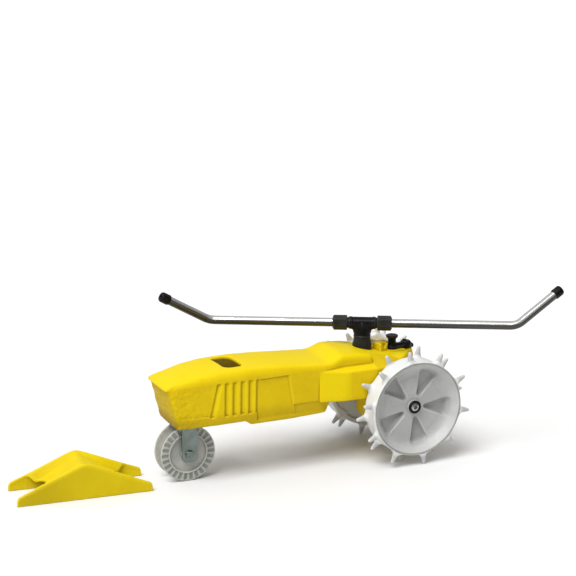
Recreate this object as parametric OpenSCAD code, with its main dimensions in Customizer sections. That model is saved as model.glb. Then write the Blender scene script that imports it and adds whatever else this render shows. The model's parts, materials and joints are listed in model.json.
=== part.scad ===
// Travelling lawn sprinkler with spiked drive wheels, a turning spray head
// and a loose stop ramp. Millimetres. The nose points to -X, +Z is up and
// the ground is z = 0.

/* [Frame] */
// shift that brings the middle of the bounding box over the origin
frame_x = 171.24; // [100:0.01:250]

/* [Drive wheels] */
// rim diameter without the spikes
rim_d = 140; // [110:1:170]
// diameter over the spike tips
tip_d = 174; // [140:1:200]
// distance of the outer rim face from the middle plane
face_y = 92; // [80:1:110]
// width of the tread
tread_w = 32; // [24:1:40]
// spikes in each of the two rows
spikes = 10; // [8:1:14]
// axle diameter
axle_d = 12.7; // [10:0.1:16]

/* [Front wheel] */
// wheelbase
wheelbase = 325; // [280:1:360]
// flange diameter
front_d = 82; // [60:1:100]
// width over the flanges
front_w = 28.6; // [22:0.1:36]
// radius at the bottom of the groove
groove_r = 25; // [15:0.5:30]

/* [Hood] */
// wall of the casting
wall = 4; // [3:0.5:6]
// half width of the hood at the shoulder
hood_w = 46.5; // [40:0.5:52]
// height of the hood crown
hood_z = 162.8; // [150:0.1:175]

/* [Spray head] */
// position of the riser ahead of the axle
riser_x = -46; // [-60:1:-35]
// height of the spray tubes
arm_z = 197; // [180:1:215]
// turn of the tubes in plan
arm_turn = 27.8; // [0:0.1:60]
// length from the riser to the bend
arm_s = 224; // [180:1:260]
// length of the bent end with its nozzle
arm_t = 89; // [60:1:120]
// bend of the tube
arm_bend = 42.8; // [20:0.1:70]
// lean of the bent ends
arm_lean = 41.9; // [0:0.1:60]
// tube diameter
tube_d = 12.7; // [10:0.1:16]

/* [Drive train] */
// module of the spur gears
gm = 1.3; // [1:0.05:1.6]
// worm wheel teeth
worm_teeth = 30; // [24:1:40]
// module of the worm wheel
wm = 1.5; // [1:0.1:2]

/* [Inlet] */
// height of the supply inlet
inlet_z = 68; // [60:1:75]
// bore of the threaded coupling
inlet_bore_d = 26.6; // [24:0.1:28]

/* [Ramp] */
// length of the ramp
ramp_l = 190; // [150:1:230]
// width of the ramp
ramp_w = 68; // [50:1:80]
// height at the top
ramp_h = 50; // [35:1:60]

/* [Hidden] */
$fn = 64;
e = 0.01;
tip_r = tip_d/2;
axle_z = tip_r*cos(180/spikes/2) + 1.8*sin(180/spikes/2);
front_x = -wheelbase;
front_z = front_d/2;
steer_xy = [[front_x - 8, 26], [front_x + 16, 26], [front_x - 8, -26], [front_x + 16, -26]];
// worm and layshaft
worm_r = 10;
worm_e = 1.2;
lead = PI*wm;
wheel_pr = worm_teeth*wm/2;
lay_x = riser_x + worm_r + wheel_pr + 0.4;
gear_c = gm*30;
lay_z = axle_z + sqrt(gear_c*gear_c - lay_x*lay_x);
mesh_a = atan2(lay_z - axle_z, lay_x);
lever_x = 26;
valve_x = -20;
crank_pin_y = 22;

yellow = [0.93, 0.73, 0.05];
yellow2 = [0.93, 0.75, 0.1];
white = [0.86, 0.87, 0.87];
grey = [0.62, 0.64, 0.65];
black = [0.08, 0.08, 0.085];
steel = [0.72, 0.73, 0.74];
zinc = [0.66, 0.67, 0.68];
brass = [0.78, 0.62, 0.3];

module at() translate([frame_x, 0, 0]) children();
// prism drawn in x and z, filling y0 to y1
module xz(y0, y1) translate([0, y1, 0]) rotate([90, 0, 0]) linear_extrude(y1 - y0) children();
// rod along Y
module yrod(r, y0, y1, x = 0, z = 0, fn = 64) translate([x, y1, z]) rotate([90, 0, 0]) cylinder(r = r, h = y1 - y0, $fn = fn);
// rod along X
module xrod(r, x0, x1, z = 0, fn = 64) translate([x0, 0, z]) rotate([0, 90, 0]) cylinder(r = r, h = x1 - x0, $fn = fn);

// ---------- body casting ----------
// station: x, half width, foot half width, crown height, crown drop,
// shoulder radius, shoulder start, bottom, rake of the section, bow in plan
ST = [
    [-363, 36.8, 34, 148, 3.2, 6, 137, 89, 0.205, 2.4],
    [-346, 40, 37.4, 153, 3.5, 9, 138.5, 89, 0.17, 2],
    [-319, 43.5, 41, 158.5, 3, 12, 143, 88.5, 0.08, 1],
    [-290, 46, 43.5, 161.8, 2.5, 13, 147, 88.5, 0, 0],
    [-260, 46.5, 44, 162.8, 2.5, 13, 149, 88.5, 0, 0],
    [-247, 46.5, 44, 162.8, 2.5, 12.5, 149.3, 88.5, 0, 0],
    [-241, 46.5, 44, 162.8, 2.5, 12, 149.5, 82.5, 0, 0],
    [-205, 46.5, 44, 161.7, 2.5, 10.5, 150, 82.5, 0, 0],
    [-177, 46.5, 44, 160.3, 2.5, 9, 150.5, 82.8, 0, 0],
    [-150, 46, 44, 158.6, 2.5, 7, 151, 83.5, 0, 0],
    [-121, 46, 44, 157.4, 2, 5, 151.5, 84.5, 0, 0],
    [-113.5, 44.6, 43, 159.9, 2, 5, 151.8, 98, 0, 0],
    [-97, 42, 42, 166.5, 3, 8, 153, 101, 0, 0],
    [-70, 42, 42, 165, 3, 9, 152, 101, 0, 0],
    [-46, 42, 42, 161.5, 2.5, 9, 149, 101, 0, 0],
    [-24, 42, 42, 156, 2.5, 8, 145, 101, 0, 0],
    [0, 42, 42, 152.5, 5.5, 7, 143, 101, 0, 0],
    [6, 37, 42, 152.1, 4.4, 7, 143, 101, 0, 0],
    [34, 12.5, 42, 150.4, 1, 5, 143.5, 101, 0, 0],
    [40, 9, 42, 150, 0.6, 4, 143.5, 101, 0, 0]];
// one side of a section from the foot to the crown, w = inset of the wall
function half(s, w) = let(hw = s[1] - w, fw = s[2] - w, zt = s[3] - w, r = max(s[5] - w*0.6, 2),
        zs = s[6] - w*0.5, zb = w > 0 ? s[7] - 12 : s[7], zc = zt - s[4])
    concat([[fw, zb]],
        [for (i = [0:6]) let(a = 15*i) [hw - r + r*cos(a), zs + (zc - zs)*sin(a)]],
        [for (i = [1:4]) let(u = 1 - i/4) [(hw - r)*u, zt - s[4]*u*u]]);
function sect(s, w) = let(h = half(s, w), n = len(h))
    concat([for (i = [0:n - 1]) [-h[i][0], h[i][1]]], [for (i = [n - 2:-1:0]) h[i]]);
function ring(s, w, dx) = [for (p = sect(s, w))
    [s[0] + dx + s[8]*max(s[3] - w - p[1], 0) + s[9]*pow(p[0]/s[1], 2), p[0], p[1]]];
module loft(w, d0, d1) {
    m = len(ST); n = len(sect(ST[0], w));
    pts = [for (i = [0:m - 1]) each ring(ST[i], w, i == 0 ? d0 : i == m - 1 ? d1 : 0)];
    mid = [for (i = [0, m - 1]) let(q = [for (j = [0:n - 1]) pts[i*n + j]])
        [(q[0][0] + q[floor(n/2)][0])/2, 0, (q[0][2] + q[floor(n/2)][2])/2]];
    polyhedron(points = concat(pts, mid), faces = concat(
        [for (j = [0:n - 1]) [m*n, (j + 1) % n, j]],
        [for (j = [0:n - 1]) [m*n + 1, (m - 1)*n + j, (m - 1)*n + (j + 1) % n]],
        [for (i = [0:m - 2]) for (j = [0:n - 1]) let(k = (j + 1) % n)
            each [[i*n + j, (i + 1)*n + k, (i + 1)*n + j], [i*n + j, i*n + k, (i + 1)*n + k]]]));
}
pod_o = [[-135, 47.2], [-90, 57], [34, 57], [40, 51], [40, -51], [34, -57], [-90, -57], [-135, -47.2]];
pod_i = [[-122, 36], [-89, 52], [33, 52], [36, 48.5], [36, -48.5], [33, -52], [-89, -52], [-122, -36]];
module slot(x0, x1, s, z0, z1, d) for (m = [-1, 1])
    hull() {
        translate([x0, m*hood_w, z0]) cube([2.4, d, 0.1], center = true);
        translate([x1, m*hood_w, z1]) cube([2.4, d, 0.1], center = true);
    }
// wedges that slope the flanks of the rear deck, w = inset of the wall
module deck_cut(w) for (m = [0, 1]) mirror([0, m, 0]) translate([-50 - w, 0, 0]) rotate([90, 0, 90]) linear_extrude(100)
    polygon([[44.2 - w/0.62, 143.1], [60, 143.1], [60, 170], [10.3 - w/0.62, 170]]);
module hood() at() color(yellow) difference() {
    union() {
        loft(0, 0, 0);
        translate([0, 0, 101]) linear_extrude(42) polygon(pod_o);
        // visor lip round the nose
        hull() {
            translate([-363.2, 0, 144.4]) cylinder(r = 5, h = 3.2, $fn = 32);
            for (m = [-1, 1]) translate([-360.6, m*30.5, 144.4]) cylinder(r = 5, h = 3.2, $fn = 32);
            translate([-346, 0, 148]) cube([6, 76, 4], center = true);
        }
        // lug under the spray head
        hull() {
            translate([-21, -8, 150]) cylinder(r = 5, h = 11, $fn = 24);
            translate([-16, 1, 150]) cylinder(r = 5, h = 11, $fn = 24);
        }
        // pad under the selector
        hull() {
            translate([-2, 0, 148]) cylinder(r = 13, h = 5.4, $fn = 32);
            translate([lever_x, 0, 146]) cylinder(r = 11, h = 7.4, $fn = 32);
        }
    }
    difference() {
        loft(wall, 4.3, -wall);
        deck_cut(wall);
        // post that carries the steering plate
        for (p = steer_xy) translate([p[0], p[1], 97.65]) cylinder(r = 5, h = 70, $fn = 24);
        // top of the casting round the riser
        translate([riser_x, 0, 150]) cylinder(r = 20, h = 30, $fn = 32);
    }
    translate([0, 0, 90]) linear_extrude(49) polygon(pod_i);
    // grip window
    hull() for (x = [-267.5, -252.5], m = [-1, 1])
        translate([x, m*17.5, 140]) cylinder(r = 7, h = 40, $fn = 32);
    deck_cut(0);
    // lower seat for the turning end of the selector
    translate([lever_x, 0, 150.8]) cylinder(r = 12.8, h = 20, $fn = 48);
    // riser, selector shaft and steering screws
    translate([riser_x, 0, 100]) cylinder(r = 13.8, h = 90, $fn = 48);
    translate([lever_x, 0, 100]) cylinder(r = 5.3, h = 90, $fn = 32);
    for (p = steer_xy) translate([p[0], p[1], 90]) cylinder(r = 2.3, h = 24, $fn = 16);
    // side louvres and the recessed panel behind them
    slot(-300, -291, 0, 104, 144, 3);
    for (x = [-279.5, -267.5, -255.5, -243.5]) slot(x, x, 0, 103, 144, 3);
    slot(-232, -232, 0, 102, 145, 3);
    for (m = [-1, 1]) hull() {
        translate([-176, m*hood_w, 103]) cube([0.1, 3.4, 0.1], center = true);
        translate([-184, m*hood_w, 147]) cube([0.1, 3.4, 0.1], center = true);
        translate([-231, m*hood_w, 103]) cube([0.1, 3.4, 0.1], center = true);
        translate([-231, m*hood_w, 147]) cube([0.1, 3.4, 0.1], center = true);
    }
    // sunk band below the smooth panel
    for (m = [-1, 1]) hull() {
        translate([-173.5, m*(hood_w - 1.8), 86.5]) cube([0.1, 3.4, 0.1], center = true);
        translate([-176, m*(hood_w - 1.6), 101]) cube([0.1, 3.4, 0.1], center = true);
        translate([-136, m*(hood_w - 2), 101]) cube([0.1, 3.4, 0.1], center = true);
        translate([-134, m*(hood_w - 2.2), 88]) cube([0.1, 3.4, 0.1], center = true);
    }
}

// ---------- lower gear case ----------
case_y = 50; case_z0 = 47; case_z1 = 100.7;
case_o = [[-36, -28], [-36, 28], [-30, 50], [40, 50], [40, -50], [-30, -50]];
case_i = [[-32.4, -26], [-32.4, 26], [-27.6, 46.4], [36.4, 46.4], [36.4, -46.4], [-27.6, -46.4]];
screw_xy = [[-20, 40], [33, 43], [-20, -40], [33, -43]];
module gearcase() at() color(yellow) difference() {
    union() {
        translate([0, 0, case_z0]) linear_extrude(case_z1 - case_z0) polygon(case_o);
        for (m = [-1, 1]) xz(m > 0 ? 46.4 : -case_y, m > 0 ? case_y : -46.4) {
            translate([lay_x, lay_z]) circle(r = 10);
            translate([lay_x - 10, case_z1 - 1]) square([20, lay_z - case_z1 + 1]);
        }
    }
    translate([0, 0, case_z0 + 3.6]) linear_extrude(100) polygon(case_i);
    yrod(9, -60, 60, 0, axle_z);
    yrod(6, -60, 60, lay_x, lay_z);
    xrod(9, 30, 50, inlet_z);
    translate([valve_x, 0, case_z0 - 1]) cylinder(r = 4, h = 8);
    // notch in the front wall for the elbow of the water pipe
    translate([riser_x, 0, 83.5]) cylinder(r = 12.2, h = 30);
    xrod(7.2, riser_x, valve_x, 91);
}
module gearcase_screws() at() color(zinc) for (p = screw_xy)
    translate([p[0], p[1], case_z0 - 3]) difference() {
        cylinder(r = 4, h = 3, $fn = 48);
        translate([-5, -0.6, -1]) cube([10, 1.2, 2]);
    }
module axle_bush(m) yrod(8.99, m > 0 ? 44 : -52, m > 0 ? 52 : -44, 0, axle_z);
module axle_bush_l() at() color(brass) difference() { axle_bush(-1); yrod(axle_d/2 + 0.05, -60, 60, 0, axle_z); }
module axle_bush_r() at() color(brass) difference() { axle_bush(1); yrod(axle_d/2 + 0.05, -60, 60, 0, axle_z); }
module lay_bush_l() at() color(brass) difference() { yrod(5.99, -50, -45, lay_x, lay_z); yrod(4.05, -60, 60, lay_x, lay_z); }
module lay_bush_r() at() color(brass) difference() { yrod(5.99, 45, 50, lay_x, lay_z); yrod(4.05, -60, 60, lay_x, lay_z); }

// ---------- riser and valve ----------
module riser_collar() at() color(black) translate([riser_x, 0, 0]) difference() {
    union() {
        translate([0, 0, 146]) cylinder(r = 13.4, h = 20);
        translate([0, 0, 165.6]) cylinder(r1 = 14, r2 = 12.2, h = 10.8);
        translate([0, 0, 147.2]) cylinder(r = 18, h = 2.6);
    }
    translate([0, 0, 140]) cylinder(r = 7.08, h = 40);
    translate([0, 0, 171]) cylinder(r = 10, h = 10);
}
module riser_seal() at() color([0.15, 0.15, 0.15]) translate([riser_x, 0, 171]) difference() {
    cylinder(r = 9.99, h = 4);
    translate([0, 0, -1]) cylinder(r = 7.08, h = 8);
}
module valve_body() at() color(brass) difference() {
    union() {
        translate([valve_x, 0, 50.7]) cylinder(r = 9.6, h = 45.3);
        xrod(8.99, valve_x, 49, inlet_z);
        xrod(11.8, 49, 52, inlet_z);
        xrod(6.5, riser_x, valve_x, 91);
        translate([riser_x, 0, 84.5]) cylinder(r = 11.5, h = 24);
    }
    translate([valve_x, 0, 55]) cylinder(r = 7.2, h = 38);
    translate([valve_x, 0, 45]) cylinder(r = 2.58, h = 20);
    xrod(6.2, valve_x, 60, inlet_z);
    xrod(4.5, riser_x, valve_x, 91);
    translate([riser_x, 0, 87]) cylinder(r = 4.6, h = 20);
    translate([riser_x, 0, 96]) cylinder(r = 7.08, h = 20);
}
module valve_seat() at() color(brass) translate([valve_x, 0, 77]) difference() {
    cylinder(r = 7.19, h = 4);
    translate([0, 0, -1]) cylinder(r = 4.5, h = 10);
}
module inlet_ring() at() color(steel) difference() {
    xrod(12.4, 40.1, 43.1, inlet_z);
    xrod(9.05, 40, 50, inlet_z);
}

// ---------- steering ----------
module steer_plate() at() color(zinc) difference() {
    translate([front_x - 12.2, -31, 93.6]) cube([35.2, 62, 4]);
    translate([front_x, 0, 90]) cylinder(r = 8, h = 20);
    for (p = steer_xy) translate([p[0], p[1], 90]) cylinder(r = 2.3, h = 24);
}
module steer_bush() at() color(black) translate([front_x, 0, 0]) difference() {
    union() { translate([0, 0, 93.2]) cylinder(r = 7.99, h = 5); translate([0, 0, 97.62]) cylinder(r = 11, h = 2); }
    translate([0, 0, 90]) cylinder(r = 5.06, h = 20);
}
module steer_screws() at() color(zinc) for (p = steer_xy) translate([p[0], p[1], 0]) union() {
    translate([0, 0, 90.6]) cylinder(r = 4.2, h = 2.98);
    translate([0, 0, 93]) cylinder(r = 2, h = 18);
}
fork_y = front_w/2 + 1.6;
module fork() at() color(zinc) difference() {
    union() {
        for (m = [-1, 1]) xz(m > 0 ? fork_y : -fork_y - 3, m > 0 ? fork_y + 3 : -fork_y)
            union() {
                translate([front_x, 0]) polygon([[-12, front_z], [-12, 83], [-6, 88], [-6, 92], [6, 92], [6, 88], [12, 83], [12, front_z]]);
                translate([front_x, front_z]) circle(r = 12);
            }
        translate([front_x - 6, -fork_y - 3, 89]) cube([12, 2*fork_y + 6, 3]);
    }
    translate([front_x, 0, 80]) cylinder(r = 5, h = 20);
    yrod(4, -40, 40, front_x, front_z);
}
module kingpin() at() color(steel) translate([front_x, 0, 0]) union() {
    translate([0, 0, 85.5]) cylinder(r = 8, h = 3.49, $fn = 6);
    translate([0, 0, 88]) cylinder(r = 4.99, h = 13);
    translate([0, 0, 100.4]) cylinder(r = 8, h = 6, $fn = 6);
    translate([0, 0, 106]) cylinder(r = 4.6, h = 3);
}
module front_bolt() at() color(steel) {
    yrod(3.98, -fork_y - 3.5, fork_y + 8, front_x, front_z);
    yrod(6.2, -fork_y - 6.8, -fork_y - 3.02, front_x, front_z, 6);
}
module front_nut() at() color(steel) difference() {
    yrod(6.6, fork_y + 3.02, fork_y + 7.4, front_x, front_z, 6);
    yrod(4.0, 0, 60, front_x, front_z);
}
module front_wheel() at() color(grey) translate([front_x, 0, front_z]) difference() {
    rotate([90, 0, 0]) rotate_extrude($fn = 96) polygon(concat(
        [[8, -11], [27.5, -11], [27.5, -front_w/2 + 1], [28.5, -front_w/2], [front_d/2 - 1.5, -front_w/2], [front_d/2, -front_w/2 + 1.5]],
        [for (i = [0:8]) let(a = 180*i/8 - 90) [front_d/2 - (front_d/2 - groove_r)*cos(a), (front_w/2 - 3)*sin(a)]],
        [[front_d/2, front_w/2 - 1.5], [front_d/2 - 1.5, front_w/2], [28.5, front_w/2], [27.5, front_w/2 - 1], [27.5, 11], [8, 11]]));
    for (m = [-1, 1]) for (i = [0:25]) rotate([0, 360/26*i, 0])
        translate([30, m > 0 ? front_w/2 - 1.5 : -front_w/2 - 1, -2.4]) cube([8.6, 2.5, 4.8]);
}
module front_bush() at() color(black) difference() {
    yrod(7.95, -fork_y + 0.3, fork_y - 0.3, front_x, front_z);
    yrod(4.05, -40, 40, front_x, front_z);
}

// ---------- spray head ----------
module spindle() at() color(brass) translate([riser_x, 0, 0]) difference() {
    translate([0, 0, 96.3]) cylinder(r = 7, h = 90.7);
    translate([0, 0, 80]) cylinder(r = 4.5, h = 120);
}
worm_h = 22;
module worm() at() color(steel) translate([riser_x, 0, lay_z - worm_h/2]) difference() {
    rotate([0, 0, 180 - 180*worm_h/lead]) linear_extrude(height = worm_h, twist = -360*worm_h/lead, slices = 48)
        translate([worm_e, 0]) circle(r = worm_r, $fn = 24);
    translate([0, 0, -1]) cylinder(r = 7.2, h = worm_h + 2, $fn = 24);
}
module turned() translate([riser_x, 0, 0]) rotate([0, 0, -arm_turn]) children();
module tee() at() color(black) turned() difference() {
    union() {
        translate([0, 0, 176.8]) cylinder(r = 12.2, h = 4.4);
        translate([0, 0, 181]) cylinder(r = 10.6, h = arm_z - 181);
        xz(-8.4, 8.4) polygon([[-9, 180], [-11.8, 181], [-15.2, 192], [15.2, 192], [11.8, 181], [9, 180]]);
        xrod(8.7, -22, 22, arm_z);
    }
    translate([0, 0, 170]) cylinder(r = 7.02, h = 17.1);
    translate([0, 0, 170]) cylinder(r = 4.5, h = arm_z - 170);
    xrod(4.5, -30, 30, arm_z);
    for (m = [-1, 1]) xrod(tube_d/2 + 0.06, m > 0 ? 12 : -30, m > 0 ? 30 : -12, arm_z);
}
// clamping nut with a grip of flats, drawn along X
module nut(m) turned() translate([0, 0, 0]) difference() {
    union() {
        xrod(11.5, m > 0 ? 22.2 : -42, m > 0 ? 42 : -22.2, arm_z, 6);
        xrod(8.8, m > 0 ? 22.2 : -43, m > 0 ? 43 : -22.2, arm_z);
    }
    xrod(tube_d/2 + 0.06, -60, 60, arm_z);
    xrod(8.4, m > 0 ? 20 : -30, m > 0 ? 30 : -20, arm_z);
}
module arm_nut_l() at() color(black) nut(-1);
module arm_nut_r() at() color(black) nut(1);
bend_r = 24;
bend_b = bend_r*tan(arm_bend/2);
// hollow tube swept along +X from x = 12.4, bent upward: centre and slope of each ring
tube_path = concat([[12.4, 0, 0]],
    [for (k = [0:8]) let(a = arm_bend*k/8) [arm_s - bend_b + bend_r*sin(a), bend_r*(1 - cos(a)), a]],
    [[arm_s + (arm_t - 8)*cos(arm_bend), (arm_t - 8)*sin(arm_bend), arm_bend]]);
tube_n = 32;
function tube_ring(p, r) = [for (q = [0:tube_n - 1]) let(t = 360*q/tube_n)
    [p[0] - r*cos(t)*sin(p[2]), r*sin(t), p[1] + r*cos(t)*cos(p[2])]];
module tube_shape(r) {
    m = len(tube_path); n = tube_n;
    polyhedron(points = concat([for (p = tube_path) each tube_ring(p, r)], [for (p = tube_path) each tube_ring(p, r - 1)]),
        faces = concat(
            [for (i = [0:m - 2]) for (q = [0:n - 1]) let(k = (q + 1) % n)
                each [[i*n + q, (i + 1)*n + k, i*n + k], [i*n + q, (i + 1)*n + q, (i + 1)*n + k]]],
            [for (i = [0:m - 2]) for (q = [0:n - 1]) let(k = (q + 1) % n, o = m*n)
                each [[o + i*n + q, o + i*n + k, o + (i + 1)*n + k], [o + i*n + q, o + (i + 1)*n + k, o + (i + 1)*n + q]]],
            [for (q = [0:n - 1]) let(k = (q + 1) % n, o = m*n) each [[q, k, o + k], [q, o + k, o + q]]],
            [for (q = [0:n - 1]) let(k = (q + 1) % n, o = m*n, b = (m - 1)*n)
                each [[b + q, o + b + k, b + k], [b + q, o + b + q, o + b + k]]]));
}
module arm(m) turned() translate([0, 0, arm_z]) rotate([0, 0, m > 0 ? 0 : 180]) rotate([-arm_lean, 0, 0]) children();
module tube(m) arm(m) tube_shape(tube_d/2);
module nozzle(m) arm(m) translate([arm_s, 0, 0]) rotate([0, -arm_bend, 0]) difference() {
    union() {
        xrod(7.6, arm_t - 14, arm_t - 1.4);
        translate([arm_t - 1.41, 0, 0]) rotate([0, 90, 0]) cylinder(r1 = 7.6, r2 = 6.4, h = 1.41);
    }
    xrod(tube_d/2, arm_t - 15, arm_t - 8);
    xrod(1.7, arm_t - 15, arm_t + 2);
}
module gasket(m) arm(m) difference() { xrod(8.3, 23.5, 29.5); xrod(tube_d/2, 0, 60); }
module tube_l() at() color(steel) tube(-1);
module tube_r() at() color(steel) tube(1);
module nozzle_l() at() color(black) nozzle(-1);
module nozzle_r() at() color(black) nozzle(1);
module gasket_l() at() color([0.15, 0.15, 0.15]) gasket(-1);
module gasket_r() at() color([0.15, 0.15, 0.15]) gasket(1);

// ---------- gears ----------
// straight flanked teeth with open backlash
function tooth(n, m, ph, ad, de, play) = let(rp = n*m/2, h = (PI*m/2 - play)/2)
    [for (i = [0:n - 1]) let(a = 360*i/n + ph,
        hr = (h + de*0.36)/(rp - de)*180/PI, ht = max(h - ad*0.36, 0.2)/(rp + ad)*180/PI)
        each [[(rp - de)*cos(a - hr), (rp - de)*sin(a - hr)], [(rp + ad)*cos(a - ht), (rp + ad)*sin(a - ht)],
            [(rp + ad)*cos(a + ht), (rp + ad)*sin(a + ht)], [(rp - de)*cos(a + hr), (rp - de)*sin(a + hr)]]];
module spur(n, ph) polygon(tooth(n, gm, ph, 1.0, 1.45, 1.0));
module layshaft() at() color(steel) {
    yrod(4, -50.4, 11, lay_x, lay_z);
    yrod(4, 45.2, 50.4, lay_x, lay_z);
    yrod(4, 10.5, 45.5, lay_x, lay_z, 6);
}
module worm_wheel() at() color(brass) difference() {
    union() {
        translate([lay_x, 0, lay_z]) xz(-2.5, 2.5) polygon(tooth(worm_teeth, wm, 0, 0.9, 1.6, 3.0));
        yrod(9, -8, 8, lay_x, lay_z);
    }
    yrod(4.01, -20, 20, lay_x, lay_z);
}
module cluster() at() color(steel) difference() {
    union() {
        translate([lay_x, 0, lay_z]) {
            xz(12, 17.5) spur(12, mesh_a + 195);
            xz(26.5, 32) spur(20, mesh_a + 189);
        }
        yrod(6.2, 17.4, 26.6, lay_x, lay_z);
        yrod(11, 18.6, 19.8, lay_x, lay_z);
        yrod(11, 24.2, 25.4, lay_x, lay_z);
    }
    yrod(4.2, 10, 40, lay_x, lay_z, 6);
}
module axle() at() color(steel) {
    yrod(axle_d/2, -82, 82, 0, axle_z);
    for (m = [-1, 1]) translate([0, m*82, axle_z]) rotate([m > 0 ? -90 : 90, 0, 0]) cylinder(r1 = axle_d/2, r2 = axle_d/2 - 1.6, h = 2);
}
module gear_slow() at() color(steel) difference() {
    translate([0, 0, axle_z]) union() {
        xz(12, 17.5) spur(48, mesh_a);
        xz(17.5, 24) circle(r = 12);
    }
    yrod(axle_d/2 + 0.02, -50, 50, 0, axle_z);
}
module gear_fast() at() color(steel) difference() {
    translate([0, 0, axle_z]) union() {
        xz(38.5, 43.5) spur(40, mesh_a - 0.75);
        xz(30, 38.5) circle(r = 12);
    }
    yrod(axle_d/2 + 0.02, -50, 50, 0, axle_z);
}

// ---------- drive wheels ----------
// section of the wheel: radius and distance from the middle plane
wheel_in = face_y - tread_w;
rim_r = rim_d/2;
module wheel_body() rotate([-90, 0, 0]) difference() {
    union() {
        rotate_extrude($fn = 96) polygon([[6.37, wheel_in + 2], [15, wheel_in + 2], [17, wheel_in + 7], [62, wheel_in + 7],
            [64, wheel_in], [rim_r - 1.5, wheel_in], [rim_r, wheel_in + 1.5], [rim_r, face_y - 1.5], [rim_r - 1.5, face_y],
            [rim_r - 5, face_y], [rim_r - 6.5, face_y - 1], [54, face_y - 14.5], [51, face_y - 15.5], [13.5, face_y - 15.5],
            [12.3, face_y - 12.6], [6.37, face_y - 12.6]]);
        // spikes in two staggered rows
        for (i = [0:spikes - 1]) {
            rotate([0, 0, 81 + 360/spikes*i]) translate([rim_r - 1, 0, face_y - 4.9]) rotate([0, 90, 0])
                cylinder(r1 = 4.9, r2 = 1.8, h = tip_r - rim_r + 1, $fn = 32);
            rotate([0, 0, 99 + 360/spikes*i]) translate([rim_r - 1, 0, wheel_in + 4.9]) rotate([0, 90, 0])
                cylinder(r1 = 4.9, r2 = 1.8, h = tip_r - rim_r + 1, $fn = 32);
        }
    }
    // wedge pockets in the dished face
    for (i = [0:4]) rotate([0, 0, 6.6 + 72*i]) translate([0, 0, face_y - 20.5]) linear_extrude(10)
        polygon([[17, -3.6], [20, -5.2], [50, -14.4], [54.5, -11], [56.2, 0], [54.5, 11], [50, 14.4], [20, 5.2], [17, 3.6]]);
}
module wheel_r() at() color(white) translate([0, 0, axle_z]) wheel_body();
module wheel_l() at() color(white) translate([0, 0, axle_z]) mirror([0, 1, 0]) wheel_body();
module retainer(m) difference() {
    yrod(9.6, m > 0 ? face_y - 12.5 : -face_y + 8.9, m > 0 ? face_y - 8.9 : -face_y + 12.5, 0, axle_z);
    yrod(axle_d/2 + 0.02, -100, 100, 0, axle_z);
}
module retainer_l() at() color(black) retainer(-1);
module retainer_r() at() color(black) retainer(1);

// ---------- selector ----------
sel_a = 8.65;
module sel() translate([lever_x, 0, 0]) rotate([0, 0, sel_a]) children();
module selector() at() color(black) sel() difference() {
    union() {
        translate([0, 0, 151.1]) cylinder(r = 8.6, h = 7);
        translate([0, 0, 158]) cylinder(r1 = 8.6, r2 = 6.4, h = 2.4);
        translate([-25, -6.4, 153.8]) cube([25, 12.8, 4]);
        translate([-25, 0, 153.8]) cylinder(r = 8.2, h = 4);
        translate([-25, 0, 157.7]) cylinder(r1 = 6.8, r2 = 5.6, h = 12);
        translate([-25, 0, 169.6]) cylinder(r1 = 5.6, r2 = 9, h = 3);
        translate([-25, 0, 172.5]) cylinder(r1 = 9, r2 = 8, h = 2);
    }
    translate([0, 0, 150]) cylinder(r = 4, h = 6, $fn = 6);
    translate([0, 0, 150]) cylinder(r = 2.2, h = 20);
    translate([0, 0, 157.4]) cylinder(r = 4.5, h = 10);
}
// crank: the pin rides in the groove of the sliding pinions
crank_x = lay_x - 4.3;
module selector_crank() at() color(steel) difference() {
    union() {
        translate([lever_x, 0, 136.5]) cylinder(r = 5, h = 14.1);
        sel() translate([0, 0, 150.5]) cylinder(r = 3.95, h = 5.4, $fn = 6);
        translate([0, 0, 137.6]) linear_extrude(3.4) polygon([[lever_x + 3, -5], [lever_x + 4, 5], [crank_x - 1, crank_pin_y + 3.5], [crank_x - 3.5, crank_pin_y], [crank_x + 1, crank_pin_y - 3.5]]);
        translate([crank_x, crank_pin_y, lay_z + 7]) cylinder(r = 1.6, h = 137.7 - lay_z - 7);
    }
    translate([lever_x, 0, 146]) cylinder(r = 2.2, h = 20);
}
module selector_screw() at() color(zinc) translate([lever_x, 0, 0]) union() {
    translate([0, 0, 147]) cylinder(r = 2.15, h = 11);
    translate([0, 0, 157.42]) cylinder(r = 4.2, h = 2.2);
}

// ---------- shut-off ----------
trip_x = 30; trip_z = 38.5;
module trip_bracket() at() color(zinc) difference() {
    union() {
        translate([trip_x - 9, -16, case_z0 - 2.4]) cube([17, 32, 2.38]);
        for (m = [-1, 1]) xz(m > 0 ? 8.2 : -11, m > 0 ? 11 : -8.2) union() {
            translate([trip_x, trip_z]) circle(r = 6);
            translate([trip_x - 6, trip_z]) square([12, case_z0 - 2 - trip_z]);
        }
    }
    yrod(3.02, -20, 20, trip_x, trip_z);
}
module trip_pin() at() color(steel) union() {
    yrod(3, -12, 12, trip_x, trip_z);
    for (m = [-1, 1]) yrod(4.6, m > 0 ? 11.05 : -13, m > 0 ? 13 : -11.05, trip_x, trip_z);
}
module trip_lever() at() color(zinc) difference() {
    union() {
        yrod(5, -7.6, 7.6, trip_x, trip_z);
        xz(-5, 5) polygon([[28, 42.4], [24, 41.7], [-18, 33.4], [-26, 31.2], [-27, 27.5], [-22, 25.4], [-10, 24.5], [20, 33.5], [28, 34.8]]);
    }
    yrod(3.06, -20, 20, trip_x, trip_z);
}
module trip_shoe() at() color(black) xz(-8, 8)
    polygon([[-10, 24.45], [-14, 18], [-9, 13], [-6, 12.4], [5, 12.4], [9, 14], [13, 20], [13, 31.35]]);
module valve_stem() at() color(steel) translate([valve_x, 0, 34]) cylinder(r = 2.5, h = 32);
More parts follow.
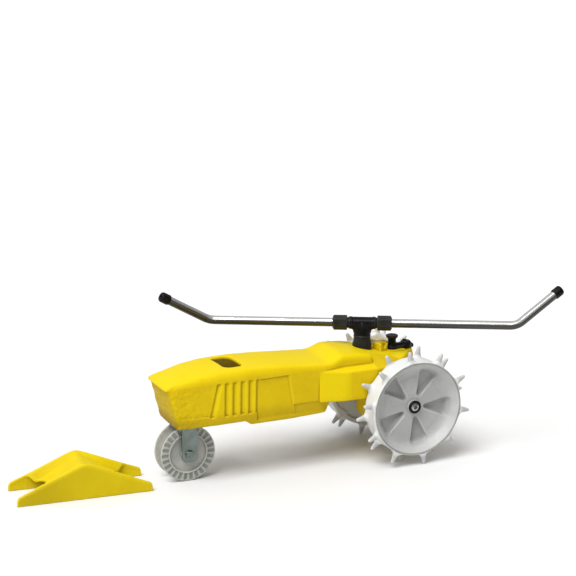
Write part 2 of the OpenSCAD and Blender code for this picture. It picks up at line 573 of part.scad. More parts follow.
module valve_disc() at() color([0.15, 0.15, 0.15]) translate([valve_x, 0, 60.6]) difference() {
    cylinder(r = 6, h = 4);
    translate([0, 0, -1]) cylinder(r = 2.5, h = 6);
}

// ---------- supply coupling ----------
module inlet_nut() at() color(brass) difference() {
    union() {
        xrod(16.4, 46, 66, inlet_z);
        for (i = [0:17]) translate([0, 0, inlet_z]) rotate([20*i, 0, 0]) translate([47.5, -1.6, 14.6]) cube([15, 3.2, 3]);
    }
    xrod(9.3, 40, 60, inlet_z);
    xrod(12.6, 48.8, 60, inlet_z);
    xrod(inlet_bore_d/2, 54.5, 70, inlet_z);
}
module inlet_washer() at() color([0.15, 0.15, 0.15]) difference() {
    xrod(12.4, 52.05, 54.4, inlet_z);
    xrod(6.4, 40, 60, inlet_z);
}

// ---------- stop ramp ----------
ramp_x = -477; ramp_y = 11; ramp_yaw = -4.8;
rh = ramp_l/2;
module ramp_side() polygon([[-rh, 0], [-rh, 9], [-rh + 2, 12], [-12, ramp_h - 3.5], [-4, ramp_h - 0.4], [4, ramp_h - 0.4], [12, ramp_h - 3.5], [rh - 2, 12], [rh, 9], [rh, 0]]);
module ramp_skin() polygon([[-rh + 48, 27.6], [-12, ramp_h - 7.5], [-4, ramp_h - 4.6], [4, ramp_h - 4.6], [12, ramp_h - 7.5], [rh - 48, 27.6],
    [rh - 48, 23.4], [11, ramp_h - 11.5], [4, ramp_h - 8.6], [-4, ramp_h - 8.6], [-11, ramp_h - 11.5], [-rh + 48, 23.4]]);
module ramp() at() color(yellow2) translate([ramp_x, ramp_y, 0]) rotate([0, 0, ramp_yaw]) union() {
    for (m = [-1, 1]) difference() {
        xz(m > 0 ? ramp_w/2 - 12 : -ramp_w/2, m > 0 ? ramp_w/2 : -ramp_w/2 + 12) ramp_side();
        translate([0, m*(ramp_w/2 - 6), -3]) scale([1, 1, 1]) xz(-2.6, 2.6) polygon([[-rh + 14, 0], [-rh + 14, 12], [0, ramp_h - 4], [rh - 14, 12], [rh - 14, 0]]);
    }
    xz(-ramp_w/2 + 11.9, ramp_w/2 - 11.9) ramp_skin();
}

hood();
gearcase();
gearcase_screws();
axle_bush_l();
axle_bush_r();
lay_bush_l();
lay_bush_r();
riser_collar();
riser_seal();
valve_body();
valve_seat();
inlet_ring();
steer_plate();
steer_bush();
steer_screws();
trip_bracket();
trip_pin();
spindle();
worm();
tee();
arm_nut_l();
arm_nut_r();
tube_l();
gasket_l();
nozzle_l();
tube_r();
gasket_r();
nozzle_r();
layshaft();
worm_wheel();
cluster();
axle();
gear_slow();
gear_fast();
wheel_l();
wheel_r();
retainer_l();
retainer_r();
selector();
selector_crank();
selector_screw();
fork();
kingpin();
front_bolt();
front_nut();
front_wheel();
front_bush();
trip_lever();
trip_shoe();
valve_stem();
valve_disc();
inlet_nut();
inlet_washer();
ramp();
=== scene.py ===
import json
import math

import bpy
import numpy as np
from mathutils import Matrix, Vector


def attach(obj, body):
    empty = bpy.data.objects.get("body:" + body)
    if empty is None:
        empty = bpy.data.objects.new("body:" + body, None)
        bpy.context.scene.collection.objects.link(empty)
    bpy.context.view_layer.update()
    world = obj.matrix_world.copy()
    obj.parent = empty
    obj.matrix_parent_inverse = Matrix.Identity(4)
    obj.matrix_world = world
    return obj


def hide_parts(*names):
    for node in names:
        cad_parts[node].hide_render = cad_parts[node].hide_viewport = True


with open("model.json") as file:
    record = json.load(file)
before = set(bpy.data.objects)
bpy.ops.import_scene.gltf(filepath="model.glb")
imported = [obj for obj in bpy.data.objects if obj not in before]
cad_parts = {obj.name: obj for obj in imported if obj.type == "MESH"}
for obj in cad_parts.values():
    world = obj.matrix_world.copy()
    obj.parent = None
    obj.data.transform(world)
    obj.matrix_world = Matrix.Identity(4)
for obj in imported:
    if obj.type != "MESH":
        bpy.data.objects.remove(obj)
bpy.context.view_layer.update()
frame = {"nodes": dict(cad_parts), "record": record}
nodes = frame["nodes"]
scene = bpy.context.scene

# The shapes below are written in millimetres with x = 0 at the drive axle.
SHIFT = 171.24
AXLE_Z = 87 * math.cos(math.radians(9)) + 1.8 * math.sin(math.radians(9))


# ---------------------------------------------------------------- field tools
def smin(a, b, k):
    h = np.clip(0.5 + 0.5 * (b - a) / k, 0, 1)
    return b + (a - b) * h - k * h * (1 - h)


def smax(a, b, k):
    return -smin(-a, -b, k)


def step01(a, b, t):
    u = np.clip((t - a) / (b - a), 0, 1)
    return u * u * (3 - 2 * u)


def hyp(a, b):
    return np.sqrt(a * a + b * b)


def curve(points, blur):
    """A smooth curve through straight runs between (x, value) points."""
    xs, ys = np.array(points, float).T
    g = np.arange(xs[0] - 40, xs[-1] + 40, 0.5)
    v = np.interp(g, xs, ys)
    v = np.where(g < xs[0], ys[0] + (g - xs[0]) * (ys[1] - ys[0]) / (xs[1] - xs[0]), v)
    v = np.where(g > xs[-1], ys[-1] + (g - xs[-1]) * (ys[-1] - ys[-2]) / (xs[-1] - xs[-2]), v)
    if blur > 0:
        t = np.arange(-4 * blur, 4 * blur + 0.25, 0.5)
        w = np.exp(-0.5 * (t / blur) ** 2)
        w /= w.sum()
        v = np.convolve(np.pad(v, len(w) // 2, mode="edge"), w, mode="valid")[: len(g)]
    return lambda x: np.interp(x, g, v)


def lumps(x, y, z, size, seed, n=7):
    """Soft even bumps, about -1 to 1, of the given wavelength."""
    rng = np.random.RandomState(seed)
    out = 0.0
    for _ in range(n):
        d = rng.normal(size=3)
        d *= 2 * math.pi / (size * rng.uniform(0.7, 1.5)) / np.linalg.norm(d)
        out = out + np.sin(x * d[0] + y * d[1] + z * d[2] + rng.uniform(0, 6.28))
    return out / math.sqrt(n) * 0.8


def box3(x, y, z, c, half, r):
    qx, qy, qz = np.abs(x - c[0]) - half[0] + r, np.abs(y - c[1]) - half[1] + r, np.abs(z - c[2]) - half[2] + r
    return np.sqrt(np.maximum(qx, 0) ** 2 + np.maximum(qy, 0) ** 2 + np.maximum(qz, 0) ** 2) + np.minimum(np.maximum(qx, np.maximum(qy, qz)), 0) - r


def poly2(u, v, pts):
    """Signed distance to a closed outline in a plane."""
    pts = [np.array(p, float) for p in pts]
    d = np.full(np.shape(u), 1e18)
    s = np.ones(np.shape(u))
    n = len(pts)
    for i in range(n):
        a, b = pts[i], pts[i - 1]
        e = b - a
        wu, wv = u - a[0], v - a[1]
        t = np.clip((wu * e[0] + wv * e[1]) / (e @ e), 0, 1)
        d = np.minimum(d, (wu - e[0] * t) ** 2 + (wv - e[1] * t) ** 2)
        c1, c2, c3 = v >= a[1], v < b[1], e[0] * wv > e[1] * wu
        flip = (c1 & c2 & c3) | (~c1 & ~c2 & ~c3)
        s = np.where(flip, -s, s)
    return s * np.sqrt(d)


CUBE = [((0, 0, 0), (1, 0, 0)), ((0, 1, 0), (1, 1, 0)), ((0, 0, 1), (1, 0, 1)), ((0, 1, 1), (1, 1, 1)),
        ((0, 0, 0), (0, 1, 0)), ((1, 0, 0), (1, 1, 0)), ((0, 0, 1), (0, 1, 1)), ((1, 0, 1), (1, 1, 1)),
        ((0, 0, 0), (0, 0, 1)), ((1, 0, 0), (1, 0, 1)), ((0, 1, 0), (0, 1, 1)), ((1, 1, 0), (1, 1, 1))]


def slope(f, V, e):
    g = np.empty_like(V)
    for i in range(3):
        d = np.zeros(3)
        d[i] = e
        a, b = V + d, V - d
        g[:, i] = (f(a[:, 0], a[:, 1], a[:, 2]) - f(b[:, 0], b[:, 1], b[:, 2])) / (2 * e)
    return g


def settle(f, V, h, times):
    """Moves points onto the surface f = 0."""
    for _ in range(times):
        v = f(V[:, 0], V[:, 1], V[:, 2])
        g = slope(f, V, 0.08 * h)
        s = v[:, None] * g / np.maximum((g * g).sum(1), 1e-3)[:, None]
        n = np.linalg.norm(s, axis=1)
        V = V - s * np.minimum(1, 0.5 * h / np.maximum(n, 1e-9))[:, None]
    return V


def skin(f, lo, hi, h, relax=2):
    """Quads over the surface f = 0 inside a box, and how sharply each corner bends."""
    lo = np.array(lo, float) - 1.5 * h
    n = np.ceil((np.array(hi, float) + 1.5 * h - lo) / h).astype(int) + 1
    gx, gy, gz = (lo[i] + h * np.arange(n[i]) for i in range(3))
    val = np.empty(n, np.float32)
    YY, ZZ = np.meshgrid(gy, gz, indexing="ij")
    per = max(1, 300000 // YY.size)
    for i in range(0, n[0], per):
        X = np.repeat(gx[i:i + per], YY.size)
        m = len(gx[i:i + per])
        val[i:i + per] = f(X, np.tile(YY.ravel(), m), np.tile(ZZ.ravel(), m)).reshape(m, *YY.shape)
    ins = val < 0
    cnt = np.zeros(n - 1, np.int8)
    for a in (0, 1):
        for b in (0, 1):
            for c in (0, 1):
                cnt += ins[a:n[0] - 1 + a, b:n[1] - 1 + b, c:n[2] - 1 + c]
    act = (cnt > 0) & (cnt < 8)
    cells = np.argwhere(act)
    idx = np.full(act.shape, -1, np.int64)
    idx[act] = np.arange(len(cells))
    i, j, k = cells.T
    acc, num = np.zeros((len(cells), 3)), np.zeros(len(cells))
    for a, b in CUBE:
        va, vb = val[i + a[0], j + a[1], k + a[2]], val[i + b[0], j + b[1], k + b[2]]
        m = (va < 0) != (vb < 0)
        t = np.where(m, va / np.where(m, va - vb, 1), 0)[:, None]
        acc += np.where(m[:, None], np.array(a) + t * (np.array(b) - np.array(a)), 0)
        num += m
    V = lo + h * (cells + acc / num[:, None])
    quads = []
    for ax in range(3):
        u, v = (ax + 1) % 3, (ax + 2) % 3
        first, second = [slice(None)] * 3, [slice(None)] * 3
        first[ax], second[ax] = slice(0, -1), slice(1, None)
        low = ins[tuple(first)]
        change = low != ins[tuple(second)]
        for w in (u, v):
            edge = [slice(None)] * 3
            edge[w] = slice(0, 1)
            change[tuple(edge)] = False
            edge[w] = slice(-1, None)
            change[tuple(edge)] = False
        p = np.argwhere(change)
        q = []
        for du, dv in ((1, 1), (0, 1), (0, 0), (1, 0)):
            c = p.copy()
            c[:, u] -= du
            c[:, v] -= dv
            q.append(idx[c[:, 0], c[:, 1], c[:, 2]])
        q = np.stack(q, 1)
        turn = ~low[change]
        q[turn] = q[turn][:, ::-1]
        quads.append(q)
    F = np.concatenate(quads)
    F = F[(F >= 0).all(1)]
    V = settle(f, V, h, 2)
    ends = np.concatenate([F[:, [0, 1]], F[:, [1, 2]], F[:, [2, 3]], F[:, [3, 0]]])
    deg = np.maximum(np.bincount(ends[:, 0], minlength=len(V)), 1)
    for _ in range(relax):
        mean = np.stack([np.bincount(ends[:, 0], V[ends[:, 1], c], len(V)) for c in range(3)], 1) / deg[:, None]
        V = settle(f, 0.5 * V + 0.5 * mean, h, 1)
    V = settle(f, V, h, 1)
    d = 1.4
    bend = -6 * f(V[:, 0], V[:, 1], V[:, 2])
    for c in range(3):
        for s in (-d, d):
            P = V.copy()
            P[:, c] += s
            bend = bend + f(P[:, 0], P[:, 1], P[:, 2])
    bend = np.clip(bend / d ** 2, -1, 1)
    for _ in range(1):
        mean = np.bincount(ends[:, 0], bend[ends[:, 1]], len(V)) / deg
        bend = 0.5 * bend + 0.5 * mean
    return V, F, bend


def put(name, V, F, mat, body, stands_for=(), bend=None, extra=None, sharp=None):
    """A mesh piece from points in millimetres and faces as an index array or a list of rows."""
    V = (np.asarray(V, float) + [SHIFT, 0, 0]) * 0.001
    me = bpy.data.meshes.new(name)
    if isinstance(F, np.ndarray):
        k = F.shape[1]
        me.vertices.add(len(V))
        me.vertices.foreach_set("co", V.astype(np.float32).ravel())
        me.loops.add(F.size)
        me.loops.foreach_set("vertex_index", F.astype(np.int32).ravel())
        me.polygons.add(len(F))
        me.polygons.foreach_set("loop_start", np.arange(0, F.size, k, dtype=np.int32))
        me.update(calc_edges=True)
    else:
        me.from_pydata([tuple(v) for v in V], [], F)
    me.validate()
    me.polygons.foreach_set("use_smooth", np.ones(len(me.polygons), bool))
    if bend is not None:
        at = me.attributes.new("bend", "FLOAT", "POINT")
        at.data.foreach_set("value", np.asarray(bend, np.float32))
    for key, value in (extra or {}).items():
        at = me.attributes.new(key, "FLOAT", "POINT")
        at.data.foreach_set("value", np.asarray(value, np.float32))
    if sharp is not None:
        me.set_sharp_from_angle(angle=math.radians(sharp))
    me.materials.append(mat)
    o = bpy.data.objects.new(name, me)
    scene.collection.objects.link(o)
    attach(o, body)
    if stands_for:
        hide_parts(*stands_for)
    return o


def fillet(pts, r, n=4):
    """Rounds the corners of a closed outline; r is one radius or one per corner."""
    out, m = [], len(pts)
    for i in range(m):
        p, a, b = (np.array(pts[q % m], float) for q in (i, i - 1, i + 1))
        ri = r[i] if hasattr(r, "__len__") else r
        u, v = (a - p), (b - p)
        lu, lv = np.linalg.norm(u), np.linalg.norm(v)
        if ri <= 0 or lu < 1e-6 or lv < 1e-6:
            out.append(tuple(p))
            continue
        u, v = u / lu, v / lv
        ang = math.acos(max(-1, min(1, u @ v)))
        if ang > math.pi - 0.05:
            out.append(tuple(p))
            continue
        t = min(ri / math.tan(ang / 2), 0.48 * lu, 0.48 * lv)
        for s in np.linspace(0, 1, n + 1):
            q = (1 - s) ** 2 * (p + u * t) + 2 * s * (1 - s) * p + s ** 2 * (p + v * t)
            out.append(tuple(q))
    return out


def turned(outline, centre, axis, n=96, ridge=None):
    """Revolves a closed outline of (radius, distance along the axis) round an axis."""
    axis = np.array(axis, float) / np.linalg.norm(axis)
    side = np.cross(axis, [0, 0, 1.0])
    if np.linalg.norm(side) < 0.1:
        side = np.cross(axis, [0, 1.0, 0])
    side /= np.linalg.norm(side)
    other = np.cross(axis, side)
    V, m = [], len(outline)
    for i in range(n):
        a = 2 * math.pi * i / n
        d = math.cos(a) * side + math.sin(a) * other
        for r, t in outline:
            rr = max(r, 1e-4) + (ridge(a, r, t) if ridge else 0)
            V.append(np.array(centre) + axis * t + d * rr)
    F = []
    for i in range(n):
        for j in range(m):
            F.append((i * m + j, i * m + (j + 1) % m, ((i + 1) % n) * m + (j + 1) % m, ((i + 1) % n) * m + j))
    V, F = np.array(V), np.array(F)
    # the outline's sense decides which way the faces look
    area = sum(outline[j][0] * outline[(j + 1) % m][1] - outline[(j + 1) % m][0] * outline[j][1] for j in range(m))
    if area > 0:
        F = F[:, ::-1]
    return V, F


# ---------------------------------------------------------------- materials
class Net:
    """A small helper for building one material."""

    def __init__(self, name):
        self.mat = bpy.data.materials.new(name)
        self.mat.use_nodes = True
        self.t = self.mat.node_tree
        self.t.nodes.clear()
        self.out = self.t.nodes.new("ShaderNodeOutputMaterial")
        self.sh = self.t.nodes.new("ShaderNodeBsdfPrincipled")
        self.t.links.new(self.sh.outputs[0], self.out.inputs[0])
        self.co = self.t.nodes.new("ShaderNodeTexCoord").outputs["Object"]

    def set(self, **kw):
        for k, v in kw.items():
            self.sh.inputs[k.replace("_", " ")].default_value = v

    def link(self, a, b):
        self.t.links.new(a, b)

    def noise(self, scale, detail=3.0, rough=0.55, warp=0.0, co=None):
        n = self.t.nodes.new("ShaderNodeTexNoise")
        n.inputs["Scale"].default_value = scale
        n.inputs["Detail"].default_value = detail
        n.inputs["Roughness"].default_value = rough
        n.inputs["Distortion"].default_value = warp
        self.link(co or self.co, n.inputs["Vector"])
        return n.outputs["Fac"]

    def cells(self, scale, co=None):
        n = self.t.nodes.new("ShaderNodeTexVoronoi")
        n.inputs["Scale"].default_value = scale
        self.link(co or self.co, n.inputs["Vector"])
        return n.outputs["Distance"]

    def attr(self, name):
        n = self.t.nodes.new("ShaderNodeAttribute")
        n.attribute_name = name
        return n.outputs["Fac"]

    def scaled(self, x, y, z):
        n = self.t.nodes.new("ShaderNodeMapping")
        n.inputs["Scale"].default_value = (x, y, z)
        self.link(self.co, n.inputs["Vector"])
        return n.outputs[0]

    def join(self, a, b, c=None):
        n = self.t.nodes.new("ShaderNodeCombineXYZ")
        for s, i in zip((a, b, c), range(3)):
            if s is not None:
                self.link(s, n.inputs[i])
        return n.outputs[0]

    def map(self, v, a, b, c=0.0, d=1.0):
        n = self.t.nodes.new("ShaderNodeMapRange")
        n.interpolation_type = "SMOOTHSTEP"
        self.link(v, n.inputs["Value"])
        for key, x in (("From Min", a), ("From Max", b), ("To Min", c), ("To Max", d)):
            n.inputs[key].default_value = x
        return n.outputs["Result"]

    def math(self, op, a, b):
        n = self.t.nodes.new("ShaderNodeMath")
        n.operation = op
        for v, s in ((a, n.inputs[0]), (b, n.inputs[1])):
            if isinstance(v, (int, float)):
                s.default_value = v
            else:
                self.link(v, s)
        return n.outputs[0]

    def mix(self, f, a, b, mode="MIX"):
        n = self.t.nodes.new("ShaderNodeMix")
        n.data_type = "RGBA"
        n.blend_type = mode
        n.clamp_factor = True
        for v, s in ((f, n.inputs[0]), (a, n.inputs[6]), (b, n.inputs[7])):
            if isinstance(v, (int, float)):
                s.default_value = v
            elif isinstance(v, tuple):
                s.default_value = v if len(v) == 4 else (*v, 1.0)
            else:
                self.link(v, s)
        return n.outputs[2]

    def color(self, c):
        self.link(c, self.sh.inputs["Base Color"])

    def rough(self, r):
        self.link(r, self.sh.inputs["Roughness"])

    def bump(self, height, strength, distance, under=None):
        n = self.t.nodes.new("ShaderNodeBump")
        n.inputs["Strength"].default_value = strength
        n.inputs["Distance"].default_value = distance
        self.link(height, n.inputs["Height"])
        if under is not None:
            self.link(under, n.inputs["Normal"])
        self.link(n.outputs[0], self.sh.inputs["Normal"])
        return n.outputs[0]


def yellow_paint():
    m = Net("yellow_paint")
    big, mid, fine = m.noise(16, 3), m.noise(190, 4, 0.6), m.noise(950, 2)
    bend, cast, hollow_shade, painted_shade, lit = m.attr("bend"), m.attr("cast"), m.attr("hollow_shade"), m.attr("painted_shade"), m.attr("lit")
    edge, crease_shade = m.map(bend, 0.12, 0.6), m.map(m.math("MULTIPLY", bend, -1.0), 0.05, 0.42)
    c = m.mix(m.map(big, 0.3, 0.7), (0.690, 0.484, 0.005), (0.750, 0.545, 0.007))
    c = m.mix(m.math("MULTIPLY", m.map(mid, 0.42, 0.75), 0.30), c, (0.630, 0.420, 0.006))
    # painted light: a brighter lemon yellow on upward faces, the raised ribs, the pod fronts and the hump top
    c = m.mix(m.math("MULTIPLY", lit, m.map(big, 0.2, 0.8, 0.8, 1.0)), c, (0.755, 0.575, 0.005))
    # painted shade in creases and grooves, then a painted highlight along convex edges
    c = m.mix(m.math("MULTIPLY", crease_shade, 0.62), c, (0.360, 0.205, 0.004))
    c = m.mix(m.math("MULTIPLY", edge, 0.35), c, (0.820, 0.630, 0.030))
    # painted shade: darker on the nose face, low down towards the foot and on the rear deck flanks
    c = m.mix(m.math("MULTIPLY", painted_shade, m.map(mid, 0.2, 0.8, 0.85, 1.0)), c, (0.300, 0.195, 0.012))
    # painted shade on the inner walls of the hollow casting
    c = m.mix(m.math("MULTIPLY", hollow_shade, m.map(mid, 0.2, 0.8, 0.75, 0.95)), c, (0.430, 0.310, 0.035))
    m.color(c)
    m.rough(m.math("ADD", m.map(mid, 0.3, 0.75, 0.30, 0.46), m.math("MULTIPLY", cast, 0.12)))
    b = m.bump(fine, 0.10, 0.0004)
    sand = m.bump(m.math("MULTIPLY", m.noise(330, 5, 0.7), cast), 0.55, 0.0022, b)
    m.bump(m.math("MULTIPLY", mid, m.math("ADD", m.math("MULTIPLY", cast, 3.2), 0.35)), 0.34, 0.0011, sand)
    m.set(Specular_IOR_Level=0.05)
    return m.mat


def yellow_plastic():
    m = Net("yellow_plastic")
    big, mid, fine = m.noise(22, 3), m.noise(260, 3), m.noise(1500, 2)
    bend, painted_shade, lit = m.attr("bend"), m.attr("painted_shade"), m.attr("lit")
    edge, crease_shade = m.map(bend, 0.10, 0.5), m.map(m.math("MULTIPLY", bend, -1.0), 0.05, 0.5)
    c = m.mix(m.map(big, 0.3, 0.7), (0.670, 0.500, 0.006), (0.720, 0.555, 0.008))
    # painted light: brighter where the ramp roof faces the light
    c = m.mix(m.math("MULTIPLY", lit, m.map(big, 0.2, 0.8, 0.85, 1.0)), c, (0.850, 0.660, 0.006))
    # painted shade on the ramp walls and the left roof slope
    c = m.mix(m.math("MULTIPLY", painted_shade, m.map(mid, 0.2, 0.8, 0.85, 1.0)), c, (0.360, 0.265, 0.012))
    # painted shade in creases, then a painted highlight along convex edges
    c = m.mix(m.math("MULTIPLY", crease_shade, 0.4), c, (0.440, 0.280, 0.005))
    c = m.mix(m.math("MULTIPLY", edge, 0.35), c, (0.830, 0.680, 0.030))
    m.color(c)
    m.rough(m.map(mid, 0.3, 0.7, 0.40, 0.52))
    b = m.bump(fine, 0.12, 0.0003)
    m.bump(big, 0.10, 0.004, b)
    m.set(Specular_IOR_Level=0.05)
    return m.mat


def white_plastic():
    m = Net("white_plastic")
    big, mid, fine = m.noise(30, 4), m.noise(300, 3), m.noise(1400, 2)
    bend, painted_shade_tone = m.attr("bend"), m.attr("painted_shade_tone")
    edge, crease_shade = m.map(bend, 0.10, 0.55), m.map(m.math("MULTIPLY", bend, -1.0), 0.05, 0.45)
    # painted shade: the dish, web, pocket floors, rim lip and spikes are darker than the tread
    c = m.mix(m.map(painted_shade_tone, 0.0, 1.0), (0.25, 0.247, 0.228), (0.695, 0.705, 0.702))
    c = m.mix(m.math("MULTIPLY", m.map(big, 0.35, 0.72), 0.16), c, (0.80, 0.80, 0.79))
    c = m.mix(m.math("MULTIPLY", m.map(mid, 0.52, 0.8), 0.16), c, (0.40, 0.39, 0.36))
    # painted shade in creases, then a painted highlight along convex edges, weaker where the wheel is shaded
    c = m.mix(m.math("MULTIPLY", crease_shade, 0.50), c, (0.23, 0.22, 0.195))
    c = m.mix(m.math("MULTIPLY", edge, m.map(painted_shade_tone, 0.0, 0.6, 0.05, 0.5)), c, (0.78, 0.78, 0.77))
    m.color(c)
    m.rough(m.map(mid, 0.3, 0.7, 0.34, 0.50))
    b = m.bump(fine, 0.10, 0.0003)
    m.bump(big, 0.08, 0.003, b)
    m.set(Specular_IOR_Level=0.32, Subsurface_Weight=0.05, Subsurface_Radius=(0.003, 0.003, 0.0026), Subsurface_Scale=1.0)
    return m.mat


def grey_plastic():
    m = Net("grey_plastic")
    big, mid, fine = m.noise(45, 4), m.noise(420, 3), m.noise(1800, 2)
    bend, painted_shade = m.attr("bend"), m.attr("painted_shade")
    edge, crease_shade = m.map(bend, 0.10, 0.5), m.map(m.math("MULTIPLY", bend, -1.0), 0.06, 0.5)
    c = m.mix(m.map(big, 0.3, 0.7), (0.34, 0.345, 0.312), (0.44, 0.44, 0.405))
    c = m.mix(m.math("MULTIPLY", m.map(mid, 0.5, 0.8), 0.25), c, (0.26, 0.27, 0.24))
    # painted shade on the ribbed ring of each roller face, darkest on the notch floors
    c = m.mix(m.math("MULTIPLY", painted_shade, m.map(big, 0.25, 0.75, 0.35, 1.0)), c, (0.135, 0.158, 0.128))
    # painted shade in creases, then a painted highlight along convex edges
    c = m.mix(m.math("MULTIPLY", crease_shade, 0.30), c, (0.15, 0.15, 0.13))
    c = m.mix(m.math("MULTIPLY", edge, 0.34), c, (0.62, 0.62, 0.59))
    m.color(c)
    m.rough(m.map(mid, 0.3, 0.7, 0.24, 0.42))
    m.bump(fine, 0.10, 0.0003)
    m.set(Specular_IOR_Level=0.4, Subsurface_Weight=0.10, Subsurface_Radius=(0.004, 0.004, 0.0035), Subsurface_Scale=1.0)
    return m.mat


def black_plastic():
    m = Net("black_plastic")
    big, mid, fine = m.noise(60, 4), m.noise(500, 4, 0.65), m.noise(2200, 2)
    bend, worn = m.attr("bend"), m.attr("worn")
    edge = m.map(bend, 0.15, 0.7)
    c = m.mix(m.map(big, 0.3, 0.7), (0.0035, 0.0035, 0.0036), (0.008, 0.008, 0.0076))
    c = m.mix(m.math("MULTIPLY", m.map(mid, 0.55, 0.8), 0.30), c, (0.020, 0.0195, 0.018))
    # painted highlight along convex edges
    c = m.mix(m.math("MULTIPLY", edge, 0.28), c, (0.105, 0.103, 0.096))
    c = m.mix(m.math("MULTIPLY", worn, m.map(big, 0.25, 0.75, 0.55, 1.0)), c, (0.036, 0.035, 0.029))
    m.color(c)
    m.rough(m.map(mid, 0.3, 0.75, 0.22, 0.42))
    b = m.bump(fine, 0.15, 0.0002)
    m.bump(mid, 0.18, 0.0005, b)
    m.set(Specular_IOR_Level=0.11)
    return m.mat


def stainless():
    m = Net("stainless")
    along, around, under = m.attr("along"), m.attr("around"), m.attr("under")
    co = m.join(m.math("MULTIPLY", along, 6.0), m.math("MULTIPLY", around, 420.0), m.math("MULTIPLY", around, 90.0))
    lines, big = m.noise(1.0, 5, 0.65, 0.0, co), m.noise(28, 3)
    spots = m.noise(340, 3)
    c = m.mix(m.map(lines, 0.25, 0.75), (0.50, 0.495, 0.48), (0.70, 0.69, 0.665))
    c = m.mix(m.math("MULTIPLY", m.map(big, 0.5, 0.8), 0.35), c, (0.48, 0.46, 0.42))
    c = m.mix(m.math("MULTIPLY", m.map(spots, 0.62, 0.8), 0.3), c, (0.40, 0.38, 0.34))
    # painted dark reflection on the lower half of the tube
    c = m.mix(m.math("MULTIPLY", under, m.map(lines, 0.2, 0.8, 0.86, 0.97)), c, (0.031, 0.029, 0.0245))
    m.color(c)
    m.rough(m.map(lines, 0.2, 0.8, 0.16, 0.32))
    m.bump(lines, 0.06, 0.0002)
    m.set(Metallic=1.0)
    return m.mat


def metal(name, a, b, dark, r0, r1, grain=900.0, streak=(1.0, 1.0, 1.0)):
    m = Net(name)
    big = m.noise(70, 4)
    fine = m.noise(grain, 3, 0.6, 0.0, m.scaled(*streak))
    spots = m.noise(380, 4, 0.65)
    c = m.mix(m.map(big, 0.3, 0.7), a, b)
    c = m.mix(m.math("MULTIPLY", m.map(spots, 0.55, 0.8), 0.5), c, dark)
    m.color(c)
    m.rough(m.map(fine, 0.25, 0.75, r0, r1))
    m.bump(fine, 0.10, 0.0002)
    m.set(Metallic=1.0)
    return m.mat


def rubber():
    m = Net("rubber")
    big, fine = m.noise(80, 3), m.noise(1600, 3)
    m.color(m.mix(m.map(big, 0.3, 0.7), (0.012, 0.012, 0.012), (0.026, 0.026, 0.025)))
    m.rough(m.map(fine, 0.3, 0.7, 0.68, 0.88))
    m.bump(fine, 0.2, 0.0003)
    m.set(Specular_IOR_Level=0.3)
    return m.mat


MAT = {
    "yellow_paint": yellow_paint(),
    "yellow_plastic": yellow_plastic(),
    "white_plastic": white_plastic(),
    "grey_plastic": grey_plastic(),
    "black_plastic": black_plastic(),
    "stainless": stainless(),
    "zinc_plate": metal("zinc_plate", (0.165, 0.198, 0.186), (0.23, 0.265, 0.252), (0.11, 0.135, 0.125), 0.30, 0.50, 520.0),
    "steel": metal("steel", (0.34, 0.34, 0.335), (0.47, 0.465, 0.455), (0.22, 0.21, 0.20), 0.18, 0.36, 700.0, (1.0, 0.15, 1.0)),
    "brass": metal("brass", (0.62, 0.42, 0.155), (0.76, 0.545, 0.235), (0.40, 0.25, 0.08), 0.22, 0.42, 650.0, (0.2, 1.0, 1.0)),
    "rubber": rubber(),
}


# ---------------------------------------------------------------- body casting
W_ = curve([(-378, 32.6), (-364, 35.0), (-346, 39.6), (-319, 43.5), (-290, 46), (-260, 46.5), (-177, 46.5), (-150, 46.2), (-125, 46), (-117, 45), (-97, 42), (60, 42)], 4)
TOP = curve([(-378, 144.8), (-366, 148.0), (-346, 154.2), (-319, 160.8), (-290, 164.4), (-260, 165.5), (-241, 165.5), (-205, 163.9), (-177, 161.6), (-150, 159.4), (-122, 157.6), (-115, 159), (-98, 166.6), (-92, 166.6), (-70, 165), (-56, 162.7), (-46, 160.4), (-34, 157.4), (-24, 155.2), (0, 152.5), (40, 150), (60, 149)], 2.5)
DROP = curve([(-378, 3.0), (-346, 3.5), (-319, 3), (-290, 2.5), (-125, 2.2), (-97, 3), (-46, 2.5), (-20, 2.5), (-8, 6), (60, 6)], 4)
SOFT_ = curve([(-378, 5), (-352, 7), (-319, 10.8), (-290, 12.8), (-260, 13.6), (-205, 12.2), (-177, 11), (-150, 9), (-125, 7), (-97, 8), (-46, 9), (-24, 9), (0, 10), (60, 10)], 5)
FOOT = curve([(-378, 84.4), (-345, 85.2), (-300, 86.4), (-249, 87.2), (-240.5, 81.2), (-177, 81.5), (-127, 83.4), (-123, 85.5), (-118.5, 94), (-116.5, 101), (60, 101)], 1.4)
SAW = [(-300.0, -291.0), (-279.5, -279.5), (-267.5, -267.5), (-255.5, -255.5), (-243.5, -243.5), (-232.0, -232.0)]


